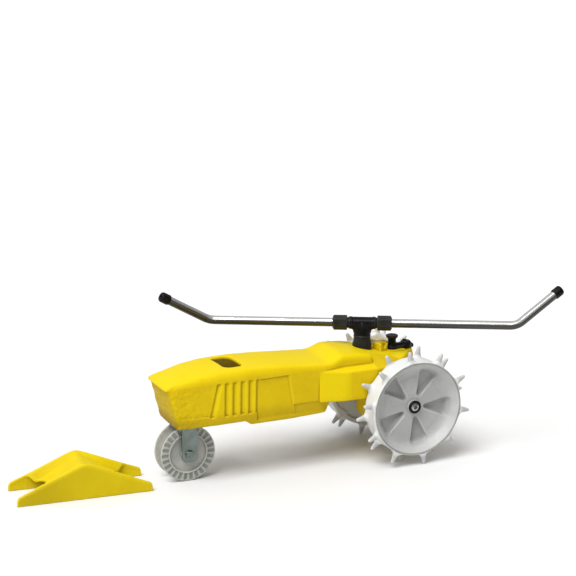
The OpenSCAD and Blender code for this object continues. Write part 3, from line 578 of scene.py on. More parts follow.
def side_relief(x, z):
    """How deep the pressed detail of the flank lies at each place."""
    up = step01(96.8, 99.8, z) * (1 - step01(145.5, 149.5, z))
    d = 0.0
    for x0, x1 in SAW:
        u = x - (x0 + (x1 - x0) * (z - 104) / 44)
        # a rib ends in a short wall and the next one rises in a long slope
        d = d + 3.1 * step01(-3.0, 0.9, u) * (1 - step01(1.0, 8.4, u))
    d = d * up * step01(-312, -304, x)
    # nose panel, sunk a little ahead of the first rib and above the rolled foot
    lean = -300.0 + 8.4 * (z - 102.5) / 44
    edge = smax(x - lean, (100.6 - z) * 1.0 - 0.012 * (x + 351), 5.0)
    d = np.maximum(d, 1.3 * (1 - step01(-1.0, 0.6, edge)) * step01(-356, -338, x) * (1 - step01(138, 149, z)))
    # sunk panel behind the ribs, which runs on below the rear flank
    line = -183 + 8 * (147 - z) / 44
    top = 146.8 + (x + 231) * 0.02
    panel = step01(-232.4, -230.6, x) * (1 - step01(-3.0, 1.8, x - line)) * (1 - step01(-0.9, 0.9, z - top))
    low = step01(-3.0, 1.8, x - line) * (1 - step01(101.6, 103.4, z)) * (1 - step01(-114, -112, x))
    return np.maximum(d, 2.2 * np.maximum(panel, low) * step01(83.0, 90.0, z))


def flank(x, a, z):
    return (a - (W_(x) - 0.042 * (TOP(x) - 8 - z)) + side_relief(x, z) * (1 - step01(-110, -106, x))) * 0.98


def hood_shell(x, y, z, relief=True):
    a = np.abs(y)
    top = (z - (TOP(x) - DROP(x) * (a / 42) ** 2)) * 0.96
    side = flank(x, a, z) if relief else (a - (W_(x) - 0.042 * (TOP(x) - 8 - z)))
    front = (-365.3 + 0.25 * np.clip(148.5 - z, -5, 80) + 0.9 * (a / 36) ** 2 - x) * 0.96
    rear = x - 40
    f = smax(side, top, SOFT_(x))
    f = smax(f, front, 3.2)
    return smax(f, rear, 4.0), top, front


def pod(x, y, z, grow=0.0):
    a = np.abs(y)
    p = ((x + 135) * -9.8 + (a + 0.075 * (z - 122) - 47.2) * 38) / 39.3
    p = smax(smax(p, a + 0.03 * (z - 122) - 57, 1.2), -135 - x, 1.2)
    p = smax(p, (x - 31 + a - 57) * 0.7071, 3)
    p = smax(p, x - 40, 3)
    return p + grow


def rear_cut(x, y, z):
    """The rear deck slopes away to both sides and narrows to a tail."""
    a = np.abs(y)
    deck = np.minimum((a - 44) * 0.62 + (z - 143) * 0.78, (x + 50) * 0.8)
    tail = (x + 2.0 + a - 40) * 0.66 + (z - 150) * 0.35
    return deck, np.maximum(tail, (x - 33.6 - 0.35 * np.clip(141 - z, 0, 40)) * 0.94)


def hood_f(x, y, z):
    a = np.abs(y)
    rough = (0.26 * lumps(x, y, z, 15, 3) + 0.24 * lumps(x, y, z, 6.0, 4)) * (1 - step01(-340, -295, x)) * (1 - step01(136, 148, z)) + 0.05 * lumps(x, y, z, 26, 5)
    solid, top, front = hood_shell(x, y, z)
    solid = solid + rough
    deck, tail = rear_cut(x, y, z)
    solid = smax(smax(solid, deck, 1.0), tail, 2.5)
    body = smax(solid, FOOT(x) - z, 1.6)
    # visor lip round the nose
    lip = smax(top + 0.1, (TOP(x) - DROP(x) * (a / 42) ** 2 - 3.9 - z), 1.8)
    lip = smax(lip, (-368.4 + 2.2 * (a / 34) ** 2 - x) * 0.97, 2.2)
    lip = smax(smax(lip, a - (W_(x) + 1.2 - 10.0 * step01(-366, -338, x)), 2.8), x + 332, 4.0)
    body = smin(body, lip + 0.3 * rough, 2.4)
    # side pods with a sloping ledge
    fall = 0.32 * np.clip(x - 4, 0, 40)
    p = smax(pod(x, y, z), (z - (143.2 - fall + 0.30 * np.clip(57 - a, 0, 20) * (1 - step01(-40, 0, x)))) * 0.95, 2.6)
    p = smax(p, 101 - z, 1.6)
    body = smin(body, p, 1.6)
    # pad under the selector, and the lug beside the riser
    seg = np.clip(x, -2, 26)
    pad = smax(hyp(x - seg, y) - (13 - (seg + 2) * 0.07), z - 153.4, 1.6)
    body = smin(body, smax(np.maximum(pad, 140 - z), tail, 1.0), 3.0)
    body = smax(body, -np.maximum(hyp(x - 26, y) - 12.8, 150.8 - z), 1.0)
    lx, ly = (x + 18.5) * 0.94 + (y + 4) * 0.34, -(x + 18.5) * 0.34 + (y + 4) * 0.94
    lug = box3(lx, ly, z, (0, 0, 156.2), (8.0, 8.5, 9.4), 1.4)
    lug = smax(lug, -smax((np.abs(lx - 1.0) - (z - 156.5) * 0.7), (ly + 4.0), 0.8), 0.8)
    body = smin(body, lug, 2.0)
    # hollow inside
    plain, _, _ = hood_shell(x, y, z, False)
    ribbed = step01(-316, -308, x) * (1 - step01(-176, -168, x))
    hollow = smax(plain + 4.2 + 1.8 * ribbed, np.maximum(deck + 4.0, tail + 1.6), 0.6)
    riser = smax(hyp(x + 46, y) - 20, 150 - z, 2)
    hollow = smax(hollow, -riser, 2)
    for px in (-333.0, -309.0):
        hollow = smax(hollow, -smax(hyp(x - px, a - 26) - 5, 97.65 - z, 0.6), 1.0)
    inner = smax(pod(x, y, z, 4.0), z - 139 + fall, 2)
    inner = smax(inner, np.minimum(103 - z, -112 - x), 1.0)
    body = smax(body, -smin(hollow, inner, 2), 1.4)
    # room for the selector crank at the end of its swing
    body = smax(body, -box3(x, y, z, (-10, 33, 137.6), (11, 7.2, 4.4), 2.0), 0.6)
    # grip window
    qx, qy = np.abs(x + 260.4 + 0.06 * y) - 14.0 + 10, a - 26.2 + 10
    win = hyp(np.maximum(qx, 0), np.maximum(qy, 0)) + np.minimum(np.maximum(qx, qy), 0) - 10
    body = smax(body, -np.maximum(win, 140 - z), 3.2)
    # riser and selector shaft
    body = smax(body, -np.maximum(hyp(x + 46, y) - 13.8, 100 - z), 0.8)
    body = smax(body, -np.maximum(hyp(x - 26, y) - 5.3, 100 - z), 0.6)
    for px in (-333.0, -309.0):
        body = smax(body, -np.maximum(hyp(x - px, a - 26) - 2.3, z - 112), 0.5)
    return body


def build_hood():
    V, F, bend = skin(hood_f, (-374, -58, 80), (42, 58, 170), 1.15)
    cast = (1 - step01(-345, -290, V[:, 0])) * (1 - step01(138, 150, V[:, 2])) * 0.9 + 0.1
    # painted shade on the inner walls of the hollow casting
    deep, _, _ = hood_shell(V[:, 0], V[:, 1], V[:, 2], False)
    deck, tail = rear_cut(V[:, 0], V[:, 1], V[:, 2])
    deep = np.maximum(deep, np.maximum(deck, tail))
    roof = smax(pod(V[:, 0], V[:, 1], V[:, 2]), V[:, 2] - 143, 1.0)
    hollow_shade = step01(2.6, 3.8, -deep) * step01(2.6, 3.6, -np.minimum(roof, deep))
    # painted shade: darker on the nose face and low down towards the foot, most at the front
    _, _, face = hood_shell(V[:, 0], V[:, 1], V[:, 2])
    nose = step01(-3.0, -0.8, face) * (1 - step01(141, 145, V[:, 2]))
    low = 1 - step01(86, 112, V[:, 2])
    painted_shade = np.clip(0.32 * nose + 0.46 * low + 0.18 * low * (1 - step01(-345, -300, V[:, 0])), 0, 1)
    # painted light: brighter on the upper faces, the raised ribs, the pod fronts and the hump top, less on the rear
    # deck flanks
    up = slope(hood_f, V, 0.3)
    up = up[:, 2] / np.maximum(np.linalg.norm(up, axis=1), 1e-6)
    ribs = step01(-303, -296, V[:, 0]) * (1 - step01(-236, -230, V[:, 0])) * step01(98, 103, V[:, 2]) * (1 - step01(146, 152, V[:, 2]))
    front = step01(-136, -134, V[:, 0]) * (1 - step01(-92, -88, V[:, 0])) * step01(45.5, 47, np.abs(V[:, 1]))
    hump = step01(-122, -110, V[:, 0]) * (1 - step01(-62, -50, V[:, 0])) * step01(146, 150, V[:, 2])
    flanks = step01(-1.0, -0.2, deck) * step01(-50, -46, V[:, 0])
    # painted shade: a little darker on the sloping rear deck flanks
    painted_shade = np.clip(painted_shade + 0.20 * flanks, 0, 1)
    lit = np.clip(step01(0.62, 0.97, up) * (1 - 0.6 * flanks) + 0.8 * ribs + 0.9 * front + 0.7 * hump, 0, 1)
    return put("hood_casting", V, F, MAT["yellow_paint"], "chassis", ["hood"], bend, {"cast": cast, "hollow_shade": hollow_shade, "painted_shade": painted_shade, "lit": lit})


build_hood()


# ---------------------------------------------------------------- lower gear case
def case_f(x, y, z):
    a = np.abs(y)
    out = smax(np.maximum(-36 - x, x - 40), a - 50, 5)
    out = smax(out, ((-36 - x) * 22 + (a - 28) * 6) / 22.8, 4)
    body = smax(smax(out, 47 - z, 4.0), z - 100.7, 1.0)
    # flange at the joint with the hood
    body = smin(body, smax(smax(out - 1.6, 96.5 - z, 1.0), z - 100.7, 0.8), 1.2)
    # stiffening ribs across the floor and round the shafts
    rib = smax(smax(np.minimum(np.abs(x - 14) - 1.6, np.abs(x + 16) - 1.6), out - 1.3, 1.0), np.maximum(46.0 - z, z - 97), 1.0)
    body = smin(body, rib, 1.5)
    hub = smax(hyp(x, z - AXLE_Z) - 13.5, a - 51.2, 1.2)
    body = smin(body, smax(hub, 44 - a, 1), 2.0)
    inlet = smax(hyp(y, z - 68) - 13.5, np.maximum(x - 41.2, 30 - x), 1.0)
    body = smin(body, inlet, 1.6)
    lay = smin(hyp(x + 13.1, z - 122.94) - 10, np.maximum(np.abs(x + 13.1) - 10, np.maximum(z - 122.94, 99 - z)), 1.0)
    body = smin(body, smax(lay, np.maximum(a - 50, 46.4 - a), 0.8), 0.8)
    inn = smax(np.maximum(-32.4 - x, x - 36.4), a - 46.4, 4)
    inn = smax(inn, ((-32.4 - x) * 20.4 + (a - 26) * 4.8) / 20.96, 3)
    body = smax(body, -smax(inn, 50.6 - z, 3), 0.8)
    body = smax(body, -(hyp(x, z - AXLE_Z) - 9.0), 0.6)
    body = smax(body, -(hyp(x + 13.1, z - 122.94) - 6.0), 0.6)
    body = smax(body, -np.maximum(hyp(y, z - 68) - 9.0, 30 - x), 0.6)
    body = smax(body, -np.maximum(hyp(x + 20, y) - 4.0, z - 56), 0.6)
    body = smax(body, -np.maximum(hyp(x + 46, y) - 12.2, 83.5 - z), 0.6)
    body = smax(body, -np.maximum(hyp(y, z - 91) - 7.2, np.maximum(x + 20, -50 - x)), 0.6)
    return body + 0.04 * lumps(x, y, z, 18, 9)


def build_case():
    V, F, bend = skin(case_f, (-40, -54, 44), (44, 54, 135), 1.2)
    put("gear_housing", V, F, MAT["yellow_paint"], "chassis", ["gearcase"], bend, {"cast": np.full(len(V), 0.45)})


build_case()


# ---------------------------------------------------------------- drive wheels
def wheel_f(x, t, z):
    """One wheel, t is the distance from the middle plane of the sprinkler."""
    dz = z - AXLE_Z
    r, ang = hyp(x, dz), np.degrees(np.arctan2(dz, x))
    body = smax(r - 70, np.maximum(60 - t, t - 92), 2.0)
    # dish: a smooth wall runs down to a flat web
    dish = smax((r - (54 + (t - 76.5) * 0.80)) * 0.78, 76.5 - t, 7.0)
    body = smax(body, -dish, 1.2)
    # five wedge pockets between the lobes, which run up the wall of the dish
    f = np.radians((ang + 7.4 + 36) % 72 - 36)
    s, q = np.abs(r * np.sin(f)), r * np.cos(f)
    deep = np.clip(76.5 - t, -2, 12)
    wedge = (s - (3.4 + (q - 17) * 0.315) + deep * 0.42) * 0.85
    wedge = smax(wedge, (16.0 - q + deep * 0.5) * 0.88, 3.0)
    pocket = smax(wedge, (r - (56.5 + (t - 76.5) * 0.5)) * 0.88, 6.0)
    pocket = smax(pocket, (69.2 + 0.05 * (q - 40) - t) * 0.98, 4.0)
    body = smax(body, -pocket, 1.1)
    # back of the wheel
    back = smax(np.maximum(t - 64.2, 58 - t), np.maximum(r - 63.6, 16.5 - r), 2.5)
    body = smax(body, -back, 1.2)
    hub_in = np.maximum(r - 16.5, t - 62)
    body = smax(body, -hub_in, 1.0)
    body = smin(body, smax(r - 9.8, np.maximum(t - 79.4, 66 - t), 0.8), 2.6)
    # spikes in two staggered rows along the edges of the tread
    for row, t0 in ((-81.0, 87.4), (-99.0, 64.6)):
        g = np.radians((ang - row + 18) % 36 - 18)
        u, p = r * np.sin(g), r * np.cos(g)
        c = np.clip((p - 69) / 18, 0, 1)
        ru, rt = 5.7 - 3.6 * c, 4.7 - 2.7 * c
        spike = smax((hyp(u / ru, (t - t0) / rt) - 1) * rt * 0.96, p - 87, 1.6)
        spike = smax(spike, 62 - p, 1.0)
        body = smin(body, spike, 5.4)
    body = smax(body, np.maximum(t - 92.2, 59.8 - t), 1.0)
    body = smax(body, -np.maximum(dish, 44 - r), 1.2)
    return smax(body, -(r - 6.5), 0.6)


def build_wheels():
    V, F, bend = skin(wheel_f, (-89, 59, AXLE_Z - 89), (89, 93, AXLE_Z + 89), 1.15)
    r = hyp(V[:, 0], V[:, 2] - AXLE_Z)
    # painted shade: the dish, its web and pocket floors, the rim lip and the spikes are coloured darker than the
    # thick tread
    inside = step01(65.0, 68.0, V[:, 1]) * (1 - step01(67.2, 68.2, r))
    floor = inside * (1 - step01(71.0, 75.5, V[:, 1]))
    web = inside * (1 - step01(77.0, 84.0, V[:, 1]))
    lip = step01(66.4, 67.2, r) * (1 - step01(68.8, 70.0, r)) * step01(90.6, 91.6, V[:, 1])
    spikes = step01(71.0, 77.0, r)
    painted_shade_tone = np.clip(1 - 0.50 * inside - 0.10 * web - 0.13 * floor - 1.1 * lip - 0.56 * spikes, 0, 1)
    put("drive_wheel_r", V, F, MAT["white_plastic"], "drive_axle", ["wheel_r"], bend, {"painted_shade_tone": painted_shade_tone})
    V2 = V * np.array([1, -1, 1])
    put("drive_wheel_l", V2, F[:, ::-1].copy(), MAT["white_plastic"], "drive_axle", ["wheel_l"], bend, {"painted_shade_tone": painted_shade_tone})


build_wheels()


# hub rings and the axle with its domed ends
for tag, m in (("l", -1), ("r", 1)):
    ring = fillet([(6.4, 79.5), (9.6, 79.5), (9.6, 82.0), (8.8, 83.1), (6.9, 83.1), (6.4, 82.5)], [0, 0.3, 0.5, 0.4, 0.3, 0.2])
    V, F = turned(ring, (0, 0, AXLE_Z), (0, m, 0), 96)
    put("hub_ring_" + tag, V, F, MAT["black_plastic"], "drive_axle", ["retainer_" + tag])
rod = [(0, -78.0), (6.0, -78.0), (6.35, -77.5), (6.35, -52), (6.35, 0), (6.35, 52), (6.35, 77.5), (6.0, 78.0), (0, 78.0)]
V, F = turned(rod, (0, 0, AXLE_Z), (0, 1, 0), 64)
put("axle_rod", V, F, MAT["steel"], "drive_axle", ["axle"])


def head_f(x, t, z):
    """Domed end of the axle with a six sided socket."""
    p, q = x, z - AXLE_Z
    r = hyp(p, q)
    f = smax(smax(r - 6.25, 77.6 - t, 0.2), (t - (84.3 - r * r / 20)) * 0.9, 0.6)
    six = None
    for k in range(3):
        a = math.radians(60 * k + 12)
        d = np.abs(p * math.cos(a) + q * math.sin(a)) - 2.7
        six = d if six is None else np.maximum(six, d)
    return smax(f, -smax(six, 78.8 - t, 0.3), 0.35)


V, F, bend = skin(head_f, (-7, 76.6, AXLE_Z - 7), (7, 85.1, AXLE_Z + 7), 0.35)
put("axle_head_r", V, F, MAT["steel"], "drive_axle", (), bend)
put("axle_head_l", V * np.array([1, -1, 1]), F[:, ::-1].copy(), MAT["steel"], "drive_axle", (), bend)


# ---------------------------------------------------------------- front roller
def roller_f(x, y, z):
    dx, dz = x + 325, z - 41
    r, ang, t = hyp(dx, dz), np.degrees(np.arctan2(dz, dx)), np.abs(y)
    body = smax(r - 41, t - 14.3, 2.0)
    groove = (np.sqrt(((r - 41) / 16) ** 2 + (y / 11.3) ** 2) - 1) * 11
    body = smax(body, -groove, 1.6)
    f = np.radians((ang + 180 / 26) % (360 / 26) - 180 / 26)
    s, q = np.abs(r * np.sin(f)), r * np.cos(f)
    notch = smax(smax(s - 2.1, np.abs(q - 34.4) - 4.9, 2.0), 13.2 - t, 0.8)
    body = smax(body, -notch, 1.5)
    # raised ring and the sunk middle
    body = smin(body, smax(np.abs(r - 28.2) - 0.9, np.maximum(t - 14.9, 10 - t), 0.7), 0.8)
    body = smax(body, -smax(r - 27.3, 11.2 - t, 1.6), 0.8)
    body = smin(body, smax(r - 9.6, np.maximum(t - 12.6, 5 - t), 1.0), 1.2)
    return smax(body, -(r - 8.0), 0.6)


V, F, bend = skin(roller_f, (-367, -15.5, -1), (-283, 15.5, 83), 0.8)
r = hyp(V[:, 0] + 325, V[:, 2] - 41)
# painted shade: darker on the ribbed ring of each face, most on the notch floors
painted_shade = step01(28.6, 30.2, r) * (1 - step01(38.6, 40.4, r)) * step01(12.4, 13.0, np.abs(V[:, 1])) * (0.85 - 0.55 * step01(13.5, 14.1, np.abs(V[:, 1])))
put("front_roller", V, F, MAT["grey_plastic"], "front_wheel", ["front_wheel"], bend, {"painted_shade": painted_shade})


# strap fork of bent plate
def fork_f(x, y, z):
    dx, a = x + 325, np.abs(y)
    half = 12 - 6 * np.clip((z - 83) / 5, 0, 1)
    sway = dx - 1.2 * (1 - step01(78, 86, z))
    leg = (np.abs(sway) - half) * 0.8
    low = hyp(np.maximum(np.abs(sway) - 4.5, 0), np.minimum(z - 36.5, 0)) - 7.5
    leg = np.where(z < 36.5, low, np.maximum(leg, np.where(z < 50, low, -50.0)))
    plate = np.abs(a - 17.4) - 1.5
    f = smax(smax(leg, plate, 0.7), z - 92, 0.7)
    top = smax(smax(np.abs(dx) - 6.0, np.abs(z - 90.5) - 1.5, 0.7), a - 18.9, 0.7)
    f = smin(f, top, 2.0)
    f = smax(f, -hyp(dx, y) + 5.0, 0.4)
    return smax(f, -hyp(dx, z - 41) + 4.0, 0.4)


V, F, bend = skin(fork_f, (-337, -20, 29), (-313, 20, 93.5), 0.6)
put("strap_fork", V, F, MAT["zinc_plate"], "steering", ["fork"], bend)


# bolt through the roller, with a chamfered head on a washer face
def bolt_f(x, y, z):
    p, q = x + 325, z - 41
    r, six = hyp(p, q), None
    for k in range(3):
        a = math.radians(60 * k + 20)
        d = np.abs(p * math.cos(a) + q * math.sin(a)) - 5.3
        six = d if six is None else np.maximum(six, d)
    f = smax(smax(six, np.maximum(-22.7 - y, y + 19.6), 0.3), r - 6.2 - (y + 21.7) * 0.9, 0.3)
    f = smin(f, smax(r - 5.9, np.maximum(-19.9 - y, y + 18.92), 0.2), 0.2)
    f = smin(f, smax(r - 3.94, np.maximum(-19.5 - y, y - 24.5), 0.4), 0.2)
    return smax(f, -smax(r - 2.6, y + 22.2 - 0.05 * r ** 2, 0.3), 0.3)


V, F, bend = skin(bolt_f, (-332.5, -23.2, 33.5), (-317.5, 25, 48.5), 0.45)
put("roller_bolt", V, F, MAT["zinc_plate"], "steering", ["front_bolt"], bend)


# ---------------------------------------------------------------- spray head
CT, ST_ = math.cos(math.radians(27.8)), math.sin(math.radians(27.8))


def head(x, y):
    return (x + 46) * CT - y * ST_, (x + 46) * ST_ + y * CT


def tee_f(x, y, z):
    u, v = head(x, y)
    ring = hyp(v, z - 197)
    body = smax(ring - 8.7 - 0.5 * step01(13.5, 15.5, np.abs(u)) + 1.2 * step01(19.0, 20.2, np.abs(u)), np.abs(u) - 22, 0.8)
    hw = 12.0 + 0.30 * np.clip(z - 180, 0, 14)
    pw = 11.6 - 0.24 * np.clip(z - 181, 0, 14)
    neck = (hyp(u / hw, v / pw) - 1) * pw * 0.95
    neck = smax(neck, np.maximum(176.8 - z, z - 197), 0.9)
    body = smin(body, neck, 2.6)
    rib = smax(smax(np.abs(u) - 0.9, np.abs(v) - 9.4, 0.8), np.abs(z - 190) - 8.2, 1.0)
    body = smin(body, rib, 1.2)
    body = smin(body, smax(hyp(u, v) - 12.6, np.abs(z - 178.2) - 1.3, 0.8), 0.8)
    return smax(body, -np.maximum(hyp(x + 46, y) - 7.05, z - 187), 0.4)


V, F, bend = skin(tee_f, (-72, -26, 175), (-20, 26, 208), 0.55)
put("spray_tee", V, F, MAT["black_plastic"], "spray_head", ["tee"], bend)


def nut_f(x, y, z, m):
    u, v = head(x, y)
    u = u * m
    w, tilt = z - 197, math.radians(15)
    p, q = -v * math.cos(tilt) + w * math.sin(tilt), v * math.sin(tilt) + w * math.cos(tilt)
    f = None
    for k in range(3):
        a = math.radians(60 * k)
        d = np.abs(p * math.cos(a) + q * math.sin(a)) - 10.0
        f = d if f is None else smax(f, d, 1.6)
    f = smax(f, hyp(p, q) - 11.5, 1.0)
    f = smax(f, np.maximum(21.9 - u, u - 42.2), 1.4)
    f = smax(f, hyp(p, q) - 11.6 - (41.2 - u) * 0.9, 0.8)
    f = smax(f, hyp(p, q) - 11.2 - (u - 22.2) * 0.9, 0.8)
    f = smin(f, smax(smax(hyp(p, q) - 8.8, u - 43.2, 0.9), 40 - u, 0.5), 0.8)
    return smax(f, -(hyp(v, w) - 6.6), 0.5)


for tag, m in (("l", -1), ("r", 1)):
    cx, cy = -46 + m * 32.5 * CT, -m * 32.5 * ST_
    V, F, bend = skin(lambda x, y, z: nut_f(x, y, z, m), (cx - 17, cy - 17, 184), (cx + 17, cy + 17, 210), 0.55)
    put("clamp_nut_" + tag, V, F, MAT["black_plastic"], "spray_head", ["arm_nut_" + tag], bend, {"worn": np.full(len(V), 0.62)})

# sleeve that carries the spray head
sleeve = fillet([(7.1, 146), (13.4, 146), (13.4, 157), (14.1, 159), (14.0, 164), (12.5, 174.6), (12.2, 176.4), (7.1, 176.4)], [0.3, 0.6, 1, 1.5, 6, 1.2, 0.8, 0.3], 6)


def sleeve_ribs(a, r, t):
    if r < 9 or t < 160 or t > 173.5:
        return 0.0
    return 0.35 * max(0.0, math.cos(12 * a)) ** 6


V, F = turned(sleeve, (-46, 0, 0), (0, 0, 1), 192, sleeve_ribs)
put("riser_sleeve", V, F, MAT["black_plastic"], "chassis", ["riser_collar"], None, {"worn": np.full(len(V), 0.6)})


# bent spray tubes
def tube_line():
    b, br, s, t = math.radians(42.8), 24.0, 224.0, 89.0
    bb = br * math.tan(b / 2)
    pts = [(x, 0.0, 0.0) for x in np.linspace(12.4, s - bb, 40)]
    for k in range(1, 29):
        a = b * k / 28
        pts.append((s - bb + br * math.sin(a), br * (1 - math.cos(a)), a))
    for d in np.linspace(bb, t - 6, 24)[1:]:
        pts.append((s + d * math.cos(b), d * math.sin(b), b))
    return pts


def arm_frame(m):
    """Axes of one arm: along it, across it and up, before its bend."""
    plan = math.radians(-27.8) + (0 if m > 0 else math.pi)
    along = np.array([math.cos(plan), math.sin(plan), 0])
    across = np.array([-math.sin(plan), math.cos(plan), 0])
    lean = math.radians(-41.9)
    up = np.array([0, 0, 1.0])
    return along, across * math.cos(lean) + up * math.sin(lean), up * math.cos(lean) - across * math.sin(lean)


def build_arm(tag, m):
    al, ac, up = arm_frame(m)
    o = np.array([-46, 0, 197.0])
    pts, n = tube_line(), 48
    V, run, rnd, low = [], [], [], []
    dist, last = 0.0, None
    rings = [(6.35, p) for p in pts]
    bore = [(5.35, p) for p in reversed(pts[-6:])]
    for r, p in rings + bore:
        c = o + al * p[0] + up * p[1]
        nrm = -al * math.sin(p[2]) + up * math.cos(p[2])
        if last is not None:
            dist += np.linalg.norm(c - last)
        last = c
        flat = 0.25 * math.sin(math.pi * min(1, max(0, p[2] / math.radians(42.8)))) if 0 < p[2] < math.radians(42.8) else 0.0
        for q in range(n):
            a = 2 * math.pi * q / n
            V.append(c + nrm * (r - flat) * math.cos(a) + ac * (r + 0.6 * flat) * math.sin(a))
            run.append(dist * 0.001)
            rnd.append(abs(q / n - 0.5))
            low.append((nrm * math.cos(a) + ac * math.sin(a))[2] if r > 6 else -1.0)
    k = len(rings) + len(bore)
    F = [(i * n + q, i * n + (q + 1) % n, (i + 1) * n + (q + 1) % n, (i + 1) * n + q) for i in range(k - 1) for q in range(n)]
    F = np.array(F)[:, ::-1]
    F = F.tolist() + [list(range(n)), [(k - 1) * n + q for q in range(n)][::-1]]
    # the downward half of each tube carries a painted dark reflection
    me_bits = {"along": run, "around": rnd, "under": 1 - step01(0.16, 0.40, np.array(low))}
    ob = put("spray_tube_" + tag, V, F, MAT["stainless"], "arm_" + ("left" if m < 0 else "right"), ["tube_" + tag], None, me_bits, 40)
    b = math.radians(42.8)
    d = al * math.cos(b) + up * math.sin(b)
    tip = o + al * 224
    cap = fillet([(1.7, 89), (1.7, 80.4), (6.4, 80.4), (6.4, 75), (7.1, 74.6), (7.6, 75.6), (7.6, 86.4), (6.7, 88.6), (4.0, 89.0), (3.2, 88.2)], [0.2, 0, 0, 0.2, 0.4, 0.6, 0.8, 0.8, 0.4, 0.4])

    def flutes(a, r, t):
        return 0.28 * max(0.0, math.cos(10 * a)) ** 4 if (r > 7.0 and 76.5 < t < 85.5) else 0.0

    dense = []
    for i in range(len(cap)):
        p, q = np.array(cap[i]), np.array(cap[(i + 1) % len(cap)])
        steps = max(1, int(np.linalg.norm(q - p) / 1.0))
        for w in range(steps):
            dense.append(tuple(p + (q - p) * w / steps))
    V, F = turned(dense, tip, d, 120, flutes)
    put("nozzle_cap_" + tag, V, F, MAT["black_plastic"], "arm_" + ("left" if m < 0 else "right"), ["nozzle_" + tag])


build_arm("l", -1)
build_arm("r", 1)


# ---------------------------------------------------------------- selector lever
def lever_f(x, y, z):
    c, s = math.cos(math.radians(8.65)), math.sin(math.radians(8.65))
    u, v = (x - 26) * c + y * s, -(x - 26) * s + y * c
    seg = np.clip(u, -25, 0)
    base = smax(hyp(u - seg, v) - (8.2 - 1.4 * step01(-22, -12, u)), np.maximum(153.8 - z, z - 157.8), 1.2)
    toe = smax(smax(np.abs(v) - 5.4, -35.0 - u, 2.0), np.maximum(np.maximum(153.8 - z, u + 22), (z - 153.8) - (u + 35.0) * 0.55), 1.0)
    f = smin(base, toe, 1.4)
    ring = hyp(u, v)
    boss = smax(ring - 8.6 + 0.04 * np.clip(z - 155, 0, 9) ** 2, np.maximum(151.1 - z, z - 162.2), 1.6)
    f = smin(f, boss, 1.8)
    tail = smax(smax(np.abs(v) - 5.6, np.abs(u - 5) - 7.0, 2.0), np.maximum(151.1 - z, (z - 161.0) + (u - 4) * 0.62), 1.6)
    f = smin(f, smax(tail, ring - 12.3, 0.8), 1.6)
    post = hyp(u + 25, v)
    rad = 5.9 + 2.2 * (1 - step01(155, 162, z)) + 3.1 * step01(167.5, 172.4, z)
    stem = smax((post - rad) * 0.85, np.maximum(154 - z, z - 174.4), 1.2)
    f = smin(f, stem, 1.4)
    f = smax(f, -smax(post - 6.6, 173.3 + 0.02 * post ** 2 - z, 0.8), 0.6)
    dip = 160.6 + 0.030 * (u + 12) ** 2 - 0.05 * np.clip(u + 12, 0, 20)
    web = smax(smax(np.abs(v) - 2.6, np.maximum(-24 - u, u), 1.0), np.maximum(154 - z, z - dip), 1.2)
    f = smin(f, web, 1.6)
    # socket for the crank, and the sunk screw
    f = smax(f, -(ring - 2.25), 0.3)
    f = smax(f, -np.maximum(ring - 4.5, 157.4 - z), 0.5)
    return smax(f, -np.maximum(ring - 4.0, z - 156.0), 0.4)


V, F, bend = skin(lever_f, (-12, -15, 150.2), (42, 15, 176), 0.5)
put("gear_lever", V, F, MAT["black_plastic"], "selector", ["selector"], bend)


# ---------------------------------------------------------------- supply coupling
def inlet_f(x, y, z):
    r, ang = hyp(y, z - 68), np.arctan2(z - 68, y)
    f = smax(r - 16.3, np.maximum(46 - x, x - 66), 1.4)
    g = np.abs(((np.degrees(ang) + 10) % 20) - 10)
    ridge = smax(smax(np.radians(g) * r - 1.5, r - 17.5, 0.8), np.maximum(47.5 - x, x - 62.5), 1.0)
    f = smin(f, ridge, 1.0)
    turn = (x / 2.209 + ang / (2 * math.pi)) % 1.0
    crest = np.abs(turn - 0.5) * 2
    bore = r - (13.25 + 0.55 * crest)
    f = smax(f, -np.maximum(bore, 54.5 - x), 0.4)
    f = smax(f, -np.maximum(r - 12.6, np.maximum(48.8 - x, x - 60)), 0.4)
    f = smax(f, -np.maximum(r - 14.4 - (x - 66), x - 70), 0.3)
    return smax(f, -(r - 9.3), 0.4)


V, F, bend = skin(inlet_f, (45, -19, 49), (67.5, 19, 87), 0.6)
put("inlet_coupling", V, F, MAT["brass"], "coupling", ["inlet_nut"], bend)


# ---------------------------------------------------------------- stop ramp
RC, RS = math.cos(math.radians(-4.8)), math.sin(math.radians(-4.8))
RIDGE = curve([(-97, 9.6), (-93, 12.4), (-12, 46.6), (-3, 49.6), (3, 49.6), (12, 46.6), (93, 12.4), (97, 9.6)], 1.6)
SINK = curve([(-100, 14), (-60, 11.5), (-30, 8), (-12, 4), (0, 1.6), (12, 4), (30, 8), (60, 11.5), (100, 14)], 5)


def ramp_f(x, y, z):
    u = (x + 477) * RC + (y - 11) * RS
    v = -(x + 477) * RS + (y - 11) * RC
    a, b = np.abs(v), np.abs(u)
    ridge = RIDGE(u)
    # the roof sags between the two walls, least at the top
    roof = ridge - SINK(u) * (1 - step01(19, 29.5, a))
    top = (z - roof) * 0.88
    out = smax(smax(a - 34 + (z - 10) * 0.02, b - 95.5 + (z - 6) * 0.12, 2.0), top, 5.0 - 2.4 * step01(70, 88, b))
    out = smax(out, -z, 0.8)
    inner = smax(a - 29.6, (z - (roof - 4.0)) * 0.88, 3.0)
    f = smax(out, -np.maximum(inner, -2 - z), 1.0)
    # the roof stops short of both ends in a round notch
    notch = smax((49 + 17 * (a / 26) ** 2 - b) * 0.72, a - 29.6, 2.0)
    return smax(f, -notch, 1.4)


